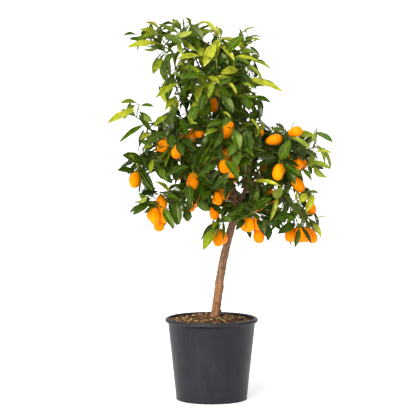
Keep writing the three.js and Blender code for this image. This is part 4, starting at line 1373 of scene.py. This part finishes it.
BARE_WOOD = [  # seen through gaps: a place, its half-width and half-height
    (56, -14, 493, 12, 19), (79, -8, 494, 8, 18), (32, -10, 398, 10, 24), (47, -10, 418, 10, 12),
    (17, -8, 690, 7, 24), (-63, -8, 685, 8, 20),
]
LETTERS = {"D": "deep", "K": "dark", "M": "mid", "F": "fresh", "L": "lime"}
TINTS = {  # above, below, midrib
    "deep": ((30, 48, 5), (80, 100, 36), (66, 90, 24)),
    "dark": ((41, 62, 6), (92, 114, 40), (82, 108, 28)),
    "mid": ((63, 87, 9), (112, 132, 48), (106, 132, 36)),
    "fresh": ((119, 131, 24), (134, 149, 58), (138, 156, 48)),
    "lime": ((152, 155, 34), (162, 171, 70), (170, 180, 66)),
}
DEAL = {  # the share of each tint's sprays among old and young masses
    False: (0.37, 0.4, 0.19, 0.03, 0.01),
    True: (0.06, 0.2, 0.28, 0.26, 0.2),
}
leaves = {tint: [] for tint in TINTS}
kind_of = {tint: "young" if tint in ("fresh", "lime") else "old" for tint in TINTS}
seen = []  # what nothing later may stand in front of: a place, its half-width and half-height, and its side
for (top, hang, size, _), coverable in zip(fruits, tucked):
    if not coverable:
        middle, lying = top + hang * FRUIT_LENGTH * 0.5 * size, abs(hang[0])
        seen.append((*middle, 11 + 7 * lying, 18 - 7 * lying, 1 if middle[1] < 30 else -1))
seen += [(*place, 1) for place in BARE_WOOD]


def hidden(points):
    """How many of the seen places a leaf would cover."""
    s = np.array(seen)
    close = np.abs(points[:, None, 0] - s[:, 0]) < s[:, 3]
    close &= np.abs(points[:, None, 2] - s[:, 2]) < s[:, 4]
    before = (s[:, 1] - points[:, None, 1]) * s[:, 5] > 3
    return ((close & before).sum(0) > 1).sum()


def grow_leaf(tint, root, side, heading, face, form, width, length):
    """Notes a leaf for its tint's piece."""
    leaves[tint].append((root, (side, heading, face), (width * MM, length * MM, length * MM), form))


placed = 0
for x0, z0, x1, z1, width, letter in PLACED:
    tint = LETTERS[letter]
    kind = kind_of[tint]
    form = PLACED_FORMS[kind][placed % 4]
    bend = FORMS[kind][form][1]
    seen_length = math.hypot(x1 - x0, z1 - z0)
    curl = (bend / 2) / math.sin(bend / 2)
    length = max(seen_length * 1.1 * curl, min(seen_length * 1.7, FULL_LENGTH[kind]))
    depth = math.sqrt((length / curl) ** 2 - seen_length**2)
    start = front_of(x0, z0, 0.72)
    for step in STEPS:
        chord = unit(np.array((x1 - x0, -depth, z1 - z0), float))
        root = np.array((x0, start + step, z0 - LOOK_DOWN * (start + step))) - chord * 0.09 * length
        light = np.array((0.25 * np.sign(x0 - 20), -0.85, 0.65)) * (1 if width > 0 else -1)
        side = unit(np.cross(chord, light))
        normal = np.cross(side, chord)
        heading = chord * math.cos(bend / 2) + normal * math.sin(bend / 2)
        face = np.cross(side, heading)
        wide = 1.15 * abs(width) / FORMS[kind][form][0]
        points = root + (probes[kind][form] * (wide, length, length)) @ np.array((side, heading, face))
        behind = hidden(points - (0, FORWARD, 0)) - hidden(points)
        clear = fruity.room(points) > 1 and leafy.room(points) > 2 and woody.room(points[4:]) > 0.8
        if in_box(points) and clear and behind < 1:
            break
    else:
        continue
    parent, joined = nearest(root)
    bear(parent, joined)
    if np.linalg.norm(parent.at(joined) - root) > 2:
        bear(take(bowed(parent.at(joined), root, 0.05, (0, 0), 1.2, 0.9), parent, joined), 1)
    leafy.add(points, 0)
    grow_leaf(tint, root, side, heading, face, form, wide, length)
    seen += [(*point, 7, 7, 1) for point in points[1:15:3]]
    placed += 1

for index, (shoot, young, count, leaf_from) in enumerate(sprays):
    draw = seeded(1301 * (index + 3))
    tint = list(TINTS)[int(np.searchsorted(np.cumsum(DEAL[young]), draw() * 0.9999))]
    kind = kind_of[tint]
    phase = 2 * math.pi * draw()
    for k in range(count):
        t = between(leaf_from, 0.995, k / (count - 1))
        axis = shoot.heading(t)
        root = shoot.at(t)
        light = unit(UP * 0.9 + unit(root - (20, 0, root[2]) + 1e-6) * 0.7)
        sideways = unit(np.cross(axis, UP) + 1e-6)
        stretch, opening, roll, droop, form = draw(), draw(), draw(), draw(), int(draw() * 6)
        open_by = between(1.3, 0.7, t) + 0.5 * (opening - 0.5)
        length = between(*LENGTHS[kind], stretch)
        sag = 0.9 * droop**2 if kind == "old" else 0.25 * droop
        for attempt in range(TRIES):
            out = turned(sideways, axis, phase + (k + 2 * attempt) * GOLDEN)
            heading = unit(axis * math.cos(open_by) + out * math.sin(open_by) - UP * sag)
            side = turned(unit(np.cross(heading, light) + 1e-6), heading, 1.3 * (roll - 0.5))
            face = np.cross(side, heading)
            shrunk = length * between(1, 0.8, attempt / TRIES)
            points = root + (probes[kind][form] * shrunk) @ np.array((side, heading, face))
            if not in_crown(points) or woody.room(points[3:]) < 1.2 or fruity.room(points) < 1.5:
                continue
            if leafy.room(points) < between(6, 3, attempt / TRIES) or hidden(points) > 0:
                continue
            leafy.add(points, 0)
            grow_leaf(tint, root, side, heading, face, form, shrunk, shrunk)
            bear(shoot, t)
            break

foliage = Recipe("foliage", Patterns="Collection", Above="Material", Below="Material", Rib="Material")
above = foliage.ends_in(placed_copies(foliage), foliage.given("Above"))
below = foliage.ends_in(above, foliage.given("Below"), foliage.named("under", "BOOLEAN"))
foliage.ends_in(below, foliage.given("Rib"), foliage.named("rib", "BOOLEAN"))
foliage.close()

for tint, (above, below, rib) in TINTS.items():
    kind = kind_of[tint]
    waxy = Finish(
        tint + "_leaf_above", roughness=0.3, specular_ior_level=0.28, specular_tint=GREEN_SHEEN,
        coat_weight=0.14, coat_roughness=0.12,
    )
    waxy.two_tone(70, 3, dyed(paint(*above), 0.72), dyed(paint(*above), 1.28), (0.33, 0.67))
    waxy.bumps(420, 3, 0.0007, 0.5)
    dull = Finish(tint + "_leaf_below", roughness=0.6, specular_ior_level=0.1, specular_tint=GREEN_SHEEN)
    dull.two_tone(90, 3, paint(*(c * 0.9 for c in below)), paint(*below), (0.3, 0.7))
    dull.bumps(500, 3, 0.0005, 0.5)
    vein = Finish(tint + "_leaf_rib", roughness=0.45, specular_ior_level=0.25, specular_tint=GREEN_SHEEN)
    vein.two_tone(120, 2, paint(*(c * 0.85 for c in rib)), paint(*rib))
    laid = places(tint + "_leaves", *zip(*leaves[tint]))
    patterns = [leaf_pattern(f"{kind}_{k}", form) for k, form in enumerate(FORMS[kind])]
    foliage.run_with(patterns, laid, Above=waxy.material, Below=dull.material, Rib=vein.material)
    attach(laid, "root")
    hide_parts(*MASSES)
    "young_leaves" if kind == "young" else "leaves"

# The green wood is kept as far along as it bears leaves, fruit or finer twigs.
bearing = [shoot.cut(shoot.bears) for shoot, _, _ in grown[len(wood):] if shoot.bears > 0.05]
green_wood = lines_of("stems_and_twigs", bearing + stalks, 9)
bars.run(green_wood, Sides=6, Finish=tender.material)
green_wood.data.shade_smooth()
green_wood.data.set_sharp_from_angle(angle=math.radians(60))
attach(green_wood, "root")
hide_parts(*MASSES)

size = {"cad": [list(corner) for corner in cad_box], "visual": [list(corner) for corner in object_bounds()]}
